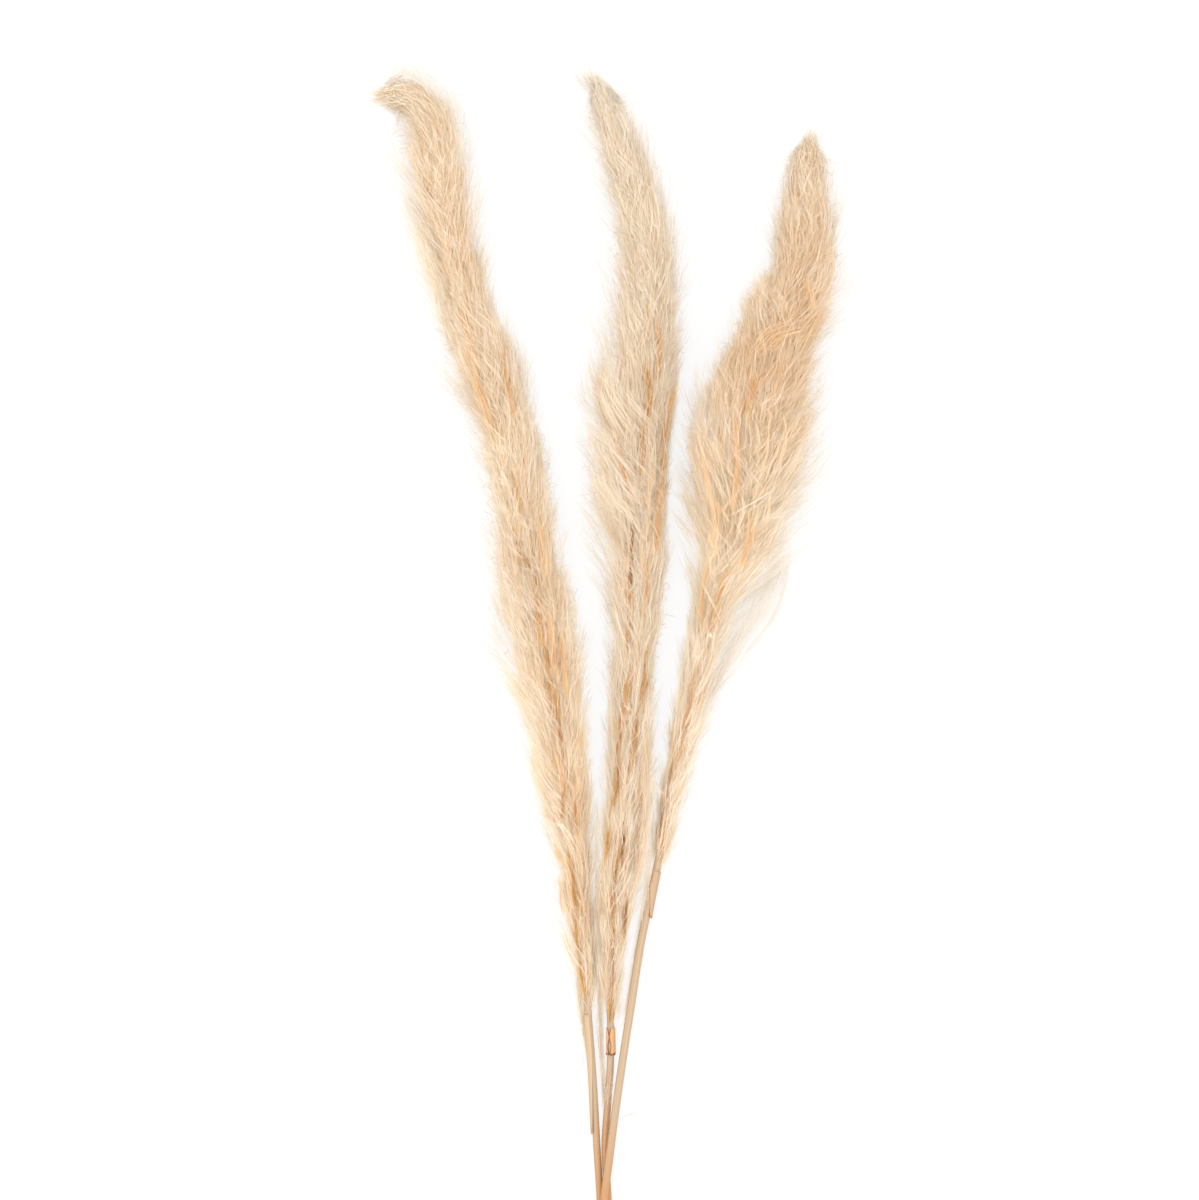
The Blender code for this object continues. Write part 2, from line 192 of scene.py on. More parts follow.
# Loose wisps of fine hair that stand out from the plumes and stems: the plume, how warm and how grey
# they are, the number of hairs, their length in millimetres, and a path in the photograph's own pixels,
# with the height and the wisp's half width in millimetres at each of its points.
WISPS = {
    "silk_lobe": (
        "right", 0.0, 0.38, 850, 34,
        [(707, 700, 20, 5), (733, 650, 24, 10), (762, 600, 24, 14), (783, 560, 22, 10)],
    ),
    "silk_edge": (
        "right", 0.0, 0.4, 120, 34,
        [(715, 694, 18, 2), (750, 650, 20, 2.5), (780, 604, 18, 3), (789, 556, 18, 2)],
    ),
    "left_lobe": (
        "left", 0.05, 0.2, 300, 30,
        [(438, 300, 20, 7), (425, 260, 20, 9), (413, 226, 19, 9), (404, 194, 18, 7)],
    ),
    "left_veil": (
        "left", 0.2, 0.06, 1100, 24,
        [(446, 325, 22, 9), (437, 286, 24, 11), (427, 250, 24, 11), (419, 222, 22, 8)],
    ),
    "left_step": (
        "left", 0.3, 0.2, 220, 18,
        [(506, 425, 20, 5), (514, 390, 20, 7), (518, 366, 20, 6), (518, 352, 20, 5)],
    ),
    "left_shoulder": (
        "left", 0.2, 0.12, 420, 16,
        [(438, 150, 18, 9), (445, 124, 18, 12), (446, 106, 17, 12), (443, 95, 16, 9)],
    ),
    "grey_lobe": (
        "middle", 0.3, 0.12, 1800, 26,
        [(628, 905, 22, 4), (641, 850, 26, 7), (645, 780, 28, 8), (640, 705, 28, 4)],
    ),
    "right_bump": (
        "right", 0.3, 0.06, 400, 18,
        [(756, 350, 30, 6), (750, 322, 28, 6), (744, 302, 26, 5)],
    ),
    "right_shoulder": (
        "right", 0.3, 0.04, 900, 16,
        [(722, 432, 26, 9), (713, 402, 25, 10), (710, 384, 24, 8)],
    ),
    "middle_shoulder": (
        "middle", 0.3, 0.06, 900, 22,
        [(612, 440, 22, 6), (601, 405, 22, 6), (597, 382, 21, 4)],
    ),
    "middle_tip": (
        "middle", 0.1, 0.3, 340, 22,
        [(612, 112, 14, 12), (600, 92, 13, 12), (590, 80, 12, 11), (582, 70, 12, 9)],
    ),
    "middle_veil": (
        "middle", 0.15, 0.14, 700, 30,
        [(650, 850, 20, 3), (645, 905, 15, 5), (636, 965, 10, 5), (624, 1022, 7, 2)],
    ),
    "gap_veil": (
        "left", 0.2, 0.1, 300, 28,
        [(596, 800, 16, 3), (597, 860, 12, 4), (598, 930, 9, 3), (599, 990, 7, 2)],
    ),
    "spike_long": (
        "middle", 0.1, 0.85, 44, 20,
        [(603, 104, 12, 7), (588, 84, 12, 7), (571, 66, 11, 6)],
    ),
    "spike_short": (
        "middle", 0.1, 0.85, 44, 18,
        [(617, 108, 12, 7), (604, 90, 12, 7), (591, 74, 11, 6)],
    ),
    "grey_strip": (
        "middle", 0.3, 0.35, 420, 22,
        [(599, 985, 8, 2.2), (601, 1040, 7, 2.6), (603, 1080, 7, 2), (604, 1104, 6, 1)],
    ),
    "stem_fluff": (
        "middle", 0.4, 0.2, 160, 9,
        [(611, 1072, 8, 2), (609, 1088, 9, 3.6), (607, 1103, 9, 3)],
    ),
    "left_fluff": (
        "left", 0.3, 0.2, 420, 20,
        [(577, 972, 7, 2.6), (580, 1004, 7, 3), (584, 1034, 6, 2.4), (588, 1062, 6, 1.2)],
    ),
    "stray_high": (
        "left", 0.5, 0.9, 7, 9,
        [(585, 1074, 5, 1), (582, 1062, 5, 2), (580, 1050, 5, 2)],
    ),
    "stray_low": (
        "right", 0.3, 0.7, 5, 17,
        [(620, 1119, 12, 0.5), (630, 1115, 12, 1), (641, 1112, 12, 1)],
    ),
}

# Streaks from orange to brown, where bundles of darker hair lie near a plume's surface, and two short
# pale ones: how warm each is, half its width in millimetres, and its path in the photograph's own pixels.
# The orange and brown ones are partly painted shade, for the crevices between the locks.
STREAKS = {
    "left": [
        (0.56, 3.0, [(461, 314), (467, 328), (476, 379), (483, 402), (492, 429)]),
        (0.72, 1.2, [(505, 346), (506, 383), (514, 411)]),
        (0.66, 1.0, [(516, 464), (519, 505), (523, 525)]),
        (0.84, 1.2, [(515, 533), (520, 551), (533, 572), (538, 592), (542, 604)]),
        (0.50, 3.5, [(538, 520), (542, 545), (545, 575)]),
        (0.74, 1.3, [(533, 580), (538, 613), (541, 640)]),
        (0.56, 2.0, [(549, 612), (552, 640), (554, 668)]),
        (0.58, 1.4, [(562, 636), (564, 664), (566, 690)]),
        (0.78, 1.1, [(544, 640), (549, 680), (552, 712)]),
        (0.84, 1.2, [(556, 690), (560, 735), (564, 766)]),
        (0.78, 1.2, [(575, 800), (577, 833)]),
        (0.80, 1.0, [(564, 786), (562, 822)]),
        (0.80, 1.3, [(569, 850), (575, 900), (579, 950), (584, 1000)]),
    ],
    "middle": [
        (0.74, 1.6, [(657, 326), (660, 352), (656, 376)]),
        (0.84, 1.6, [(647, 372), (650, 399), (645, 425)]),
        (0.80, 1.3, [(642, 430), (643, 454), (639, 472)]),
        (0.74, 1.4, [(614, 436), (619, 457), (625, 477), (630, 496)]),
        (0.64, 2.4, [(675, 385), (668, 413), (664, 441), (662, 477), (659, 510), (657, 550)]),
        (1.00, 0.9, [(633, 515), (631, 551), (630, 584)]),
        (0.80, 1.0, [(630, 580), (629, 612), (628, 660)]),
        (0.62, 1.0, [(644, 555), (647, 580), (644, 610)]),
        (0.80, 1.2, [(646, 645), (645, 670), (642, 702)]),
        (0.74, 1.8, [(635, 664), (627, 688), (625, 712)]),
        (0.82, 1.3, [(637, 712), (634, 746), (631, 770)]),
        (0.84, 1.4, [(623, 708), (618, 755), (616, 788), (610, 816)]),
        (0.78, 1.2, [(608, 834), (606, 856)]),
        (1.00, 0.9, [(624, 828), (622, 856)]),
        (0.84, 1.2, [(619, 848), (614, 886), (612, 930)]),
        (0.82, 1.0, [(641, 790), (635, 885)]),
        (0.86, 1.1, [(614, 925), (612, 985), (610, 1020)]),
        (0.90, 1.0, [(627, 900), (624, 935)]),
    ],
    "right": [
        (0.55, 4.0, [(806, 286), (809, 304)]),
        (0.55, 7.0, [(758, 352), (772, 338), (792, 330)]),
        (0.72, 1.8, [(751, 378), (751, 395), (747, 408)]),
        (0.68, 1.0, [(776, 366), (757, 384)]),
        (0.60, 1.8, [(735, 424), (736, 471), (733, 512)]),
        (0.48, 1.4, [(702, 456), (707, 486), (711, 505)]),
        (0.46, 2.2, [(713, 505), (715, 522), (715, 540)]),
        (0.62, 1.6, [(749, 534), (742, 562)]),
        (0.62, 1.3, [(706, 568), (702, 596), (700, 622)]),
        (0.62, 1.4, [(722, 580), (716, 610), (708, 640)]),
        (0.80, 1.5, [(698, 662), (689, 701), (684, 727), (678, 757)]),
        (0.92, 1.2, [(674, 760), (666, 796), (661, 830)]),
        (0.0, 0.6, [(657, 800), (672, 786)]),
        (0.0, 0.6, [(655, 784), (668, 800)]),
    ],
}
PLUME_SLOT = {"left": "plume_warm", "middle": "plume_pale", "right": "plume_warm"}

# A plume is this share as high above its line as it is wide to one side, and no hair lies lower than
# the clearance above the surface
HEIGHT_SHARE = 0.68
FLOOR_CLEARANCE = 0.7

# The colour map's name, and how far a hair's two edges lie apart on it
MAP_NAME = "OFBake"
MAP_STEP = 0.006

# A direction that no hair follows, from which each hair's flat side is turned
FLAT_SIDE = (0.17, 0.05, 1.0)

# Where locks leave the stalk, from below the plume's base to short of its tip, and how they crowd
LOCKS_BELOW_BASE = 10.0
LOCKS_SHORT_OF_TIP = 14.0
LOCK_SPOTS = 400
LOCK_CROWDING = 16.0
GOLDEN_SHARE = 0.618034
FACING_SCATTER = 0.12

# A lock's length, which shrinks where the plume is narrow and near its tip
LOCK_LENGTH = 118.0
LOCK_LENGTHS = (0.75, 1.2)
NARROW_WIDTH = 60.0
NARROW_LENGTH = 0.55
LOCK_PAST_TIP = 2.0
LOCK_SHRINK = 0.75

# A lock's course: how quickly it opens towards the outline, how near it comes, and how it turns
LOCK_OPENING = 1.7
LOCK_LEVEL = 0.84
LEVEL_WAVES = (6, 60.0, 190.0)
LEVEL_SWING = 0.05
LEVEL_SINK = 0.24
LOCK_TWIST = 0.13
WAVY_TURN = 0.10
WAVY_RATE = 4.4

# A lock's half width near the plume's base and near its tip, and how much it tapers
LOCK_HALF_WIDTH = (6.0, 12.0)
LOCK_TAPER = 0.45
LOCK_TAPER_POWER = 1.5

# The plume's tip: how far hairs run past it, how round, soft and uneven it is, and how it closes in.
# The limit keeps a power of e within what a number can hold.
TIP_OVERRUN = 8.0
TIP_STRETCH = 20.0
TIP_WIDENING = 1.15
TIP_SOFTNESS = 6.0
TIP_UNEVENNESS = 14.0
TIP_CLOSING = 0.55
TIP_LENGTH = {"left": 1.2, "middle": 1.7, "right": 1.4}
EXP_LIMIT = 500

# Long strands: where they start on their lock, their chance lengths, and how they scatter round it
START_POWER = 0.6
STRAND_STARTS = (0.02, 1.0)
STRAND_LENGTHS = (0.65, 1.3)
STRAND_POINTS = np.array([0.0, 0.33, 0.67, 1.0])
STRAND_ENDS = (1.06, 0.1)
STRAND_JITTER = (0.8, 0.5)
STRAND_OUTWARD = (1.5, -0.15, 0.4)
FREE_SHARE = 0.5
FREE_SPREAD = 3.0
ROOT_RADIUS = 5.0
HAIR_RADII = (0.7, 1.3)

# Short fine hairs: their points, which husks share, where they start, their chance lengths, and how
# they lean, swing and bend
FUZZ_STARTS = (0.3, 1.0)
SHORT_POINTS = np.array([0.0, 0.5, 1.0])
FUZZ_LENGTHS = (0.4, 1.5)
FULL_FUZZ_WIDTH = 85.0
NARROW_FUZZ = 0.4
FUZZ_LEAN = (0.5, 0.3)
FUZZ_SWING = 0.4
FUZZ_BEND = 0.35
FUZZ_DEPTH = 0.35
FUZZ_ROOT_RADIUS = 6.0
LEAN_ON_TOP = 0.35

# Tufts: the share of the fine hairs in them, how many share one, and how they fan out from a root
TUFT_SHARE = 0.2
TUFT_HAIRS = 16
TUFT_LENGTH = 1.2
TUFT_LENGTHS = (0.6, 1.2)
TUFT_FAN = 0.22
TUFT_ROOT = 7.0

# Branches inside the locks, and the seed husks on them
BRANCH_END = 0.86
BRANCH_POINTS = 7
BRANCH_RADII = (0.62, 0.3)
BRANCH_WARMTH = (0.72, 0.08)
HUSK_STARTS = (0.12, 0.8)
HUSK_LENGTHS = (6.0, 10.0)
HUSK_SCATTER = (1.6, 0.5)
HUSK_RADII = (0.4, 0.6)
HUSK_WARMTHS = (0.7, 1.0)

# Loose wisps: the points of a hair, its chance length, and how its bundle scatters
WISP_POINTS = np.array([-0.5, -0.15, 0.2, 0.5])
WISP_LENGTHS = (0.5, 1.3)
WISP_CROWDING = 1.4
WISP_SPREAD = (0.5, 0.35)
WISP_JITTER = (0.03, 0.4)
WISP_RADII = (0.6, 1.3)

# Streaks: their height as a share of the outline's, and their hairs
STREAK_LEVEL = 0.9
STREAK_LENGTH = 24.0
STREAK_DENSITY = 0.5
STREAK_END = 8.0
STREAK_WIDENING = 1.5
LEAST_HEIGHT = 0.05

# Chance streaks: their places along and across a plume, their lengths, warmths and half widths
CHANCE_START = 0.03
CHANCE_STRETCH = 0.8
CHANCE_CROWDING = (1.1, 1.7)
CHANCE_ASIDE = (0.3, 0.75)
CHANCE_LENGTHS = (14, 46)
CHANCE_JITTER = 0.05
CHANCE_POINTS = 4
CHANCE_WARMTHS = (0.38, 0.46, 0.16)
CHANCE_HALF_WIDTHS = (0.5, 1.3)

# Curls: the share of the locks below them, how they favour the sides, and their arcs
CURLS_FROM = 0.25
CURL_SIDE_POWER = 6
CURL_ON_TOP = 0.05
CURL_STARTS = (0.5, 1.0)
CURL_POINTS = 6
CURL_LENGTHS = (4.0, 13.0)
CURL_HEADING = (0.9, 0.5)
CURL_BEND = 2.4
CURL_ASIDE = 0.5
CURL_LIFT = 1.5
CURL_UNEVENNESS = 0.3
CURL_RADIUS = 0.22
CURL_WARMTH = 0.35
CURL_GREY = 0.9

# The halo: the hairs of a clump, the share of the outline where a clump starts, how far its hairs run
# ahead, and more so the further they stand out, and the share of the clumps that brush past the tip
HALO_CLUMP = 7
HALO_ROOT = 0.72
HALO_AHEAD = (12.0, 26.0)
HALO_LEAN = 1.6
HALO_SPOTS = 200
HALO_PAST = (1.1, 2.2)
HALO_BENDS = (0.6, 1.4)
HALO_TURN = 0.28
HALO_POINTS = np.array([0.0, 0.4, 0.75, 1.0])
HALO_TIP_SHARE = 0.12
HALO_TIP_STRETCH = 0.04
HALO_TIP_PAST = 0.7
HALO_TIP_TURN = 1.2
HALO_TIP_RISE = 0.25
HALO_PAST_TIP = 14.0
HALO_SCATTER = (3.0, 1.0)
HALO_AHEAD_RANGE = (0.7, 1.2)
HALO_FAN = (0.1, 0.12)
HALO_REACHES = (0.4, 1.2)
HALO_UNEVENNESS = 0.5
HALO_RADII = (0.6, 1.2)
HALO_WARMTH = 0.12
HALO_GREY = (0.34, 0.1)

# How warm a hair's colour is, from 0 for ivory to 1 for brown, is the stalk's own warmth there and more
# inside the plume, less on its edges, and a little more or less with the lock, hair, tuft and waves
WARMTH_INSIDE = 0.16
WARMTH_AT_EDGE = -0.16
WARMTH_OF_LOCK = 0.035
WARMTH_OF_HAIR = 0.03
WARMTH_OF_TUFT = 0.02
WARMTH_OF_FUZZ = 0.05
WARMTH_SWING = 0.07
WARMTH_WAVES = (8, 30.0, 160.0)
MEAN_LEVEL = 0.75

# How grey a hair's colour is, from 0 to 1: everywhere, at a plume's tip, and on its two edges, from a
# share of the way to the outline
GREY_SWING = 0.015
GREY_WAVES = (5, 120.0, 400.0)
GREY_AT_TIP = {"left": 0.03, "middle": 0.12, "right": 0.07}
FRINGE_START = 0.80
FRINGE_WIDTH = 0.25
FRINGE_GREY = 0.04

# Stems: where their colour map starts, which on the middle stem is set lower so that its brown cut-end
# colour runs further up as painted shade where it lies under the right stem and beside the left, the
# tube's rings and sides, and how they thin out inside a plume
STEM_MAP_START = {"left": 0.0, "middle": -0.045, "right": 0.0}
STEM_STEP = 6.0
STEM_SIDES = 20
STEM_SHORT_OF_TIP = 20.0
STEM_UNDERSIZE = 0.1
STEM_THINNING = 0.85
STEM_THINNING_POWER = 0.8
DISH_DEPTH = 1.2
POINT_LENGTH = 1.0

# Dried leaf sheaths round the stems: the stalk, the stretch between two places along y, the middle of
# the wrapped side and half its spread in degrees (0 is +X, 90 is up), how narrow the lower end is, how
# warm the colour is, and how much warmer its edges are. The middle sheath's dark edges are mostly
# painted shade in the slit between them.
SHEATHS = {
    "sheath_left": ("left", -452.0, -338.0, 150.0, 74.0, 0.22, 0.08, 0.1),
    "sheath_middle": ("middle", -376.5, -351.0, -69.0, 172.0, 0.98, 0.58, 0.5),
    "sheath_right": ("right", -243.0, -200.0, 20.0, 105.0, 0.3, 0.40, 0.25),
}
SHEATH_ROWS = 28
SHEATH_COLUMNS = 25
SHEATH_WALL = 0.4
SHEATH_GAP = 0.45
SHEATH_FLARE = {"left": 0.9, "middle": 0.25, "right": 0.9}
SHEATH_RIB = 0.08
SHEATH_RIB_WARMTH = 0.05
SHEATH_TEAR = 1.2
SHEATH_TEAR_POWER = 6
SHEATH_WAVE = (0.06, 9, 2.0, 4)
SHEATH_EDGE_POWER = 16
SHEATH_END_WARMTH = 0.6
SHEATH_END_POWER = 24
SHEATH_MAP = (0.02, 0.9)

# A colour mix's sockets by number, because their names are shared with its other kinds
MIX_SHARE = 0
MIX_FIRST = 6
MIX_SECOND = 7
MIX_RESULT = 2

# Colour ramps' places: silk by warmth, straw by its fibres and sheath leaf by brownness
SILK_PLACES = (0.0, 0.27, 0.52, 0.78, 1.0)
STRAW_PLACES = (0.3, 0.5, 0.7)
LEAF_PLACES = (0.15, 0.4, 0.65, 0.95)

# The share of the light that silk lets through, how densely straw's fibres lie along and round a stem,
# and how deep they are
SILK_TRANSLUCENCE = 0.68
FIBRE_SCALE = (2.2, 26.0, 1.0)
FIBRE_DEPTH = 0.25

# The stage, in metres and degrees
FLOOR_HALF = 15.0
PAPER_GREY = (0.12, 0.12, 0.12, 1.0)
PAPER_ROUGHNESS = 0.9
WHITE = (1.0, 1.0, 1.0, 1.0)
LAMP_SIZE = 2.4
LAMP_PLACE = (-0.3, 0.4, 3.0)
LAMP_TILT = (-7, -6)


def linear(hex_colour):
    """An sRGB hex colour as linear red, green and blue."""
    parts = [int(hex_colour[i : i + 2], 16) / 255 for i in (1, 3, 5)]
    return tuple(c / 12.92 if c <= 0.04045 else ((c + 0.055) / 1.055) ** 2.4 for c in parts)


def read_curve(lengths, rows, at):
    """Rows read at the lengths `at` from a smooth curve through `rows`, which lie at `lengths`. Between
    two rows it is a cubic that keeps their slopes, and past either end it runs straight on."""
    slopes = np.gradient(rows, lengths, axis=0)
    inside = np.clip(at, lengths[0], lengths[-1])
    i = np.clip(np.searchsorted(lengths, inside, side="right") - 1, 0, len(lengths) - 2)
    span = lengths[i + 1] - lengths[i]
    t = ((inside - lengths[i]) / span)[..., None]
    span = span[..., None]
    curve = (
        (1 + 2 * t) * (1 - t) ** 2 * rows[i]
        + t * (1 - t) ** 2 * span * slopes[i]
        + t**2 * (3 - 2 * t) * rows[i + 1]
        + t**2 * (t - 1) * span * slopes[i + 1]
    )
    past = (np.asarray(at) - inside)[..., None]
    end_slope = np.where(past > 0, slopes[-1], slopes[0])
    return curve + past * end_slope


class Stalk:
    """The line of one stalk, and how far its fluff reaches round it at each length."""

    def __init__(self, data):
        stem = np.array(data["stem"], float)
        plume = np.array(data["plume"], float)
        self.line = np.concatenate([stem, plume[:, :3]])
        steps = np.linalg.norm(np.diff(self.line, axis=0), axis=1)
        self.lengths = np.concatenate([[0.0], np.cumsum(steps)])
        self.plume_lengths = self.lengths[len(stem) :]
        self.reach = plume[:, 3:]
        self.stem_radius = data["stem_radius"]
        self.halo = np.array(data["halo"], float)
        self.warmth = np.array(data["warmth"], float)
        self.base = self.plume_lengths[0]
        self.tip = self.plume_lengths[-1]

    def centre(self, at):
        return read_curve(self.lengths, self.line, at)

    def side(self, at):
        """The level direction across the stalk, to the right of its way to the tip."""
        ahead = self.centre(np.asarray(at) + 1.0) - self.centre(np.asarray(at) - 1.0)
        across = np.stack([ahead[..., 1], -ahead[..., 0], np.zeros(ahead.shape[:-1])], axis=-1)
        return across / np.linalg.norm(across, axis=-1)[..., None]

    def reaches(self, at):
        """How far the fluff reaches to the left and to the right."""
        inside = np.clip(at, self.base, self.tip)
        return read_curve(self.plume_lengths, self.reach, inside)

    def width(self, at):
        """How wide the fluff is from its left edge to its right."""
        return self.reaches(at).sum(axis=-1)

    def up(self, at):
        """The share of the plume's own length, from 0 at its base to 1 at its tip."""
        return (at - self.base) / (self.tip - self.base)

    def outer_radius(self, at, angle):
        """The outline's distance at an angle: a quarter of an ellipse between each two of the reaches
        to the left, to the right, up and down."""
        left, right = np.moveaxis(self.reaches(at), -1, 0)
        up = HEIGHT_SHARE * (left + right) / 2
        down = np.minimum(up, self.centre(np.clip(at, self.base, self.tip))[..., 2])
        across = np.where(np.cos(angle) > 0, right, left)
        upright = np.where(np.sin(angle) > 0, up, down)
        return 1 / np.hypot(np.cos(angle) / across, np.sin(angle) / upright)

    def point(self, at, angle, radius):
        """Points at a radius and an angle round the line, where 0 is the right side and a quarter
        turn is straight up."""
        across = self.side(at) * (radius * np.cos(angle))[..., None]
        upright = np.array([0.0, 0.0, 1.0]) * (radius * np.sin(angle))[..., None]
        return self.centre(at) + across + upright

    def hair_points(self, at, angle, radius):
        """Such points, raised to the clearance over the surface."""
        points = self.point(at, angle, radius)
        points[..., 2] = np.maximum(points[..., 2], FLOOR_CLEARANCE)
        return points


def make_waves(draw, count, shortest, longest):
    """A smooth uneven pattern round and along a plume: the mean of a few waves of random slant."""
    lengths = draw.uniform(shortest, longest, count)
    turns = draw.integers(-3, 4, count)
    starts = draw.uniform(0, 2 * math.pi, count)

    def waves(at, angle):
        phase = 2 * math.pi * at[..., None] / lengths + turns * angle[..., None] + starts
        return np.sin(phase).mean(axis=-1) * math.sqrt(count / 2)

    return waves


class Locks:
    """The locks of one plume. A lock's path starts on the stalk's line at length `root` and angle
    `facing`. At a share s of its own length it has gone that share of `length` along the stalk, has
    turned by `twist` times s and a small wave, and lies at `level` times 1 - (1 - s)^LOCK_OPENING of
    the way from the line to the outline."""

    def __init__(self, side, count, draw):
        stalk = Stalk(STALKS[side])
        self.stalk = stalk
        self.tip_length = TIP_LENGTH[side]
        self.grey_at_tip = GREY_AT_TIP[side]
        self.count = count
        share = (np.arange(count) + draw.uniform(0, 1, count)) / count
        spots = np.linspace(stalk.base - LOCKS_BELOW_BASE, stalk.tip - LOCKS_SHORT_OF_TIP, LOCK_SPOTS)
        weight = np.cumsum(LOCK_CROWDING + stalk.width(spots))
        self.root = np.interp(share, weight / weight[-1], spots)
        golden = (np.arange(count) * GOLDEN_SHARE) % 1.0
        self.facing = 2 * math.pi * golden + draw.normal(0, FACING_SCATTER, count)
        thin = np.clip(stalk.width(self.root) / NARROW_WIDTH, NARROW_LENGTH, 1.0)
        self.length = LOCK_LENGTH * thin * draw.uniform(*LOCK_LENGTHS, count)
        left_over = stalk.tip + LOCK_PAST_TIP - self.root
        self.length *= left_over / (left_over + LOCK_SHRINK * self.length)
        uneven = make_waves(draw, *LEVEL_WAVES)(self.root, self.facing)
        self.level = LOCK_LEVEL + LEVEL_SWING * uneven - LEVEL_SINK * (draw.uniform(0, 1, count) ** 3)
        self.twist = draw.normal(0, LOCK_TWIST, count)
        self.phase = draw.uniform(0, 2 * math.pi, count)
        self.warmth = draw.normal(0, WARMTH_OF_LOCK, count)
        self.colour_waves = make_waves(draw, *WARMTH_WAVES)
        self.grey_waves = make_waves(draw, *GREY_WAVES)

    def place(self, which, share):
        """The length, angle and radius of locks `which` at shares of their own lengths."""
        at = self.root[which] + self.length[which] * share
        wave = WAVY_TURN * np.sin(WAVY_RATE * share + self.phase[which])
        angle = self.facing[which] + self.twist[which] * share + wave
        rise = 1 - np.clip(1 - share, 0, 1) ** LOCK_OPENING
        radius = self.level[which] * rise * self.stalk.outer_radius(at, angle)
        return at, angle, radius

    def hold(self, at, radial, uneven):
        """Lengths drawn back smoothly, so that no hair runs far past the plume's own tip, which is a
        half ellipse as long as the plume's radius near its tip times TIP_LENGTH, and radii that close
        in towards that tip. Unevenness of either sign draws a hair further back."""
        tip_radius = self.stalk.width(self.stalk.tip - TIP_STRETCH) / 2
        off_axis = np.clip(radial / (TIP_WIDENING * tip_radius), 0, 1)
        round_off = self.tip_length * tip_radius * (1 - np.sqrt(1 - off_axis**2))
        stop = self.stalk.tip + TIP_OVERRUN - round_off - TIP_UNEVENNESS * np.abs(uneven)
        left = np.minimum((stop - at) / TIP_SOFTNESS, EXP_LIMIT)
        held = stop - TIP_SOFTNESS * np.log1p(np.exp(left))
        close = self.tip_length * tip_radius
        ahead = np.clip((held - self.stalk.tip + close) / (close + TIP_OVERRUN), 0, TIP_CLOSING)
        return held, radial * np.sqrt(1 - ahead**2)

    def half_width(self, which, share):
        """Locks are narrow and distinct near the plume's base, and wide and merged near its tip."""
        up = self.stalk.up(self.root[which])
        widest = LOCK_HALF_WIDTH[0] + (LOCK_HALF_WIDTH[1] - LOCK_HALF_WIDTH[0]) * np.clip(2 * up, 0, 1)
        return widest * (1 - LOCK_TAPER * np.clip(share, 0, 1) ** LOCK_TAPER_POWER)


def hair_mesh(name, paths, radii, shades, draw):
    """Thin flat hairs in one mesh. `paths` holds each hair's points. The first and the last are its
    ends, and every point between them has two corners, half a hair's width to either side. A hair's
    flat side faces its own way. `shades` gives each path point's warmth and greyness, which are the two
    coordinates of the map that the colour is read from, so one small picture can hold every colour."""
    hairs, points, _ = paths.shape
    rings = points - 2
    ahead = paths[:, 2:] - paths[:, :-2]
    ahead /= np.linalg.norm(ahead, axis=2)[..., None]
    across = np.cross(ahead, np.array(FLAT_SIDE))
    across /= np.linalg.norm(across, axis=2)[..., None]
    upward = np.cross(ahead, across)
    turn = draw.uniform(0, math.pi, hairs)[:, None, None]
    aside = radii[..., None] * (np.cos(turn) * across + np.sin(turn) * upward)
    corners = np.stack([paths[:, 1:-1] - aside, paths[:, 1:-1] + aside], axis=2)
    corners = corners.reshape(hairs, rings * 2, 3)
    places = np.concatenate([paths[:, :1], corners, paths[:, -1:]], axis=1)
    faces = [[0, 1, 2]]
    for ring in range(rings - 1):
        low = 1 + 2 * ring
        faces += [[low, low + 2, low + 3], [low, low + 3, low + 1]]
    faces += [[2 * rings - 1, 2 * rings + 1, 2 * rings]]
    faces = np.array(faces)[None] + (np.arange(hairs) * places.shape[1])[:, None, None]
    side = np.array([[0.0, -MAP_STEP], [0.0, MAP_STEP]])
    middle = (shades[:, 1:-1, None] + side).reshape(hairs, rings * 2, 2)
    spots = np.concatenate([shades[:, :1], middle, shades[:, -1:]], axis=1)
    return fill_mesh(name, places.reshape(-1, 3), faces.reshape(-1, 3), spots.reshape(-1, 2))


def fill_mesh(name, places, triangles, spots):
    """A mesh of triangles from points in millimetres, with each point's place on the colour map."""
    mesh = bpy.data.meshes.new(name)
    mesh.vertices.add(len(places))
    mesh.vertices.foreach_set("co", (places * MM).astype(np.float32).ravel())
    mesh.loops.add(triangles.size)
    mesh.loops.foreach_set("vertex_index", triangles.astype(np.int32).ravel())
    mesh.polygons.add(len(triangles))
    mesh.polygons.foreach_set("loop_start", np.arange(0, triangles.size, 3, dtype=np.int32))
    mesh.update(calc_edges=True)
    uv = mesh.uv_layers.new(name=MAP_NAME)
    corners = np.clip(spots, 0.0, 1.0)[triangles.ravel()].astype(np.float32)
    uv.uv.foreach_set("vector", corners.ravel())
    return mesh


def add_piece(mesh, material, slot, *nodes):
    """Put a finished mesh into the scene as a piece that rides on the bunch and replaces solids."""
    obj = bpy.data.objects.new(mesh.name, mesh)
    bpy.context.scene.collection.objects.link(obj)
    mesh.materials.append(material)
    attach(obj, BODY)
    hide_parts(*nodes)
    return obj


def add_node(tree, kind, settings=None, inputs=None, links=None):
    """Add a shader node, with its settings, its fixed inputs and the outputs that feed it."""
    node = tree.nodes.new(kind)
    for name, value in (settings or {}).items():
        setattr(node, name, value)
    for name, value in (inputs or {}).items():
        node.inputs[name].default_value = value
    for name, output in (links or {}).items():
        tree.links.new(output, node.inputs[name])
    return node


def start_material(name):
    """An empty material's nodes, and the node that is its surface output."""
    material = bpy.data.materials.new(name)
    material.use_nodes = True
    material.node_tree.nodes.clear()
    return material.node_tree, add_node(material.node_tree, "ShaderNodeOutputMaterial")


def set_ramp(ramp, places, colours):
    """Give a colour ramp its linear colours, each at a place from 0 to 1."""
    elements = ramp.color_ramp.elements
    while len(elements) < len(places):
        elements.new(0.5)
    for element, place, colour in zip(elements, places, colours):
        element.position = place
        element.color = (*colour, 1.0)


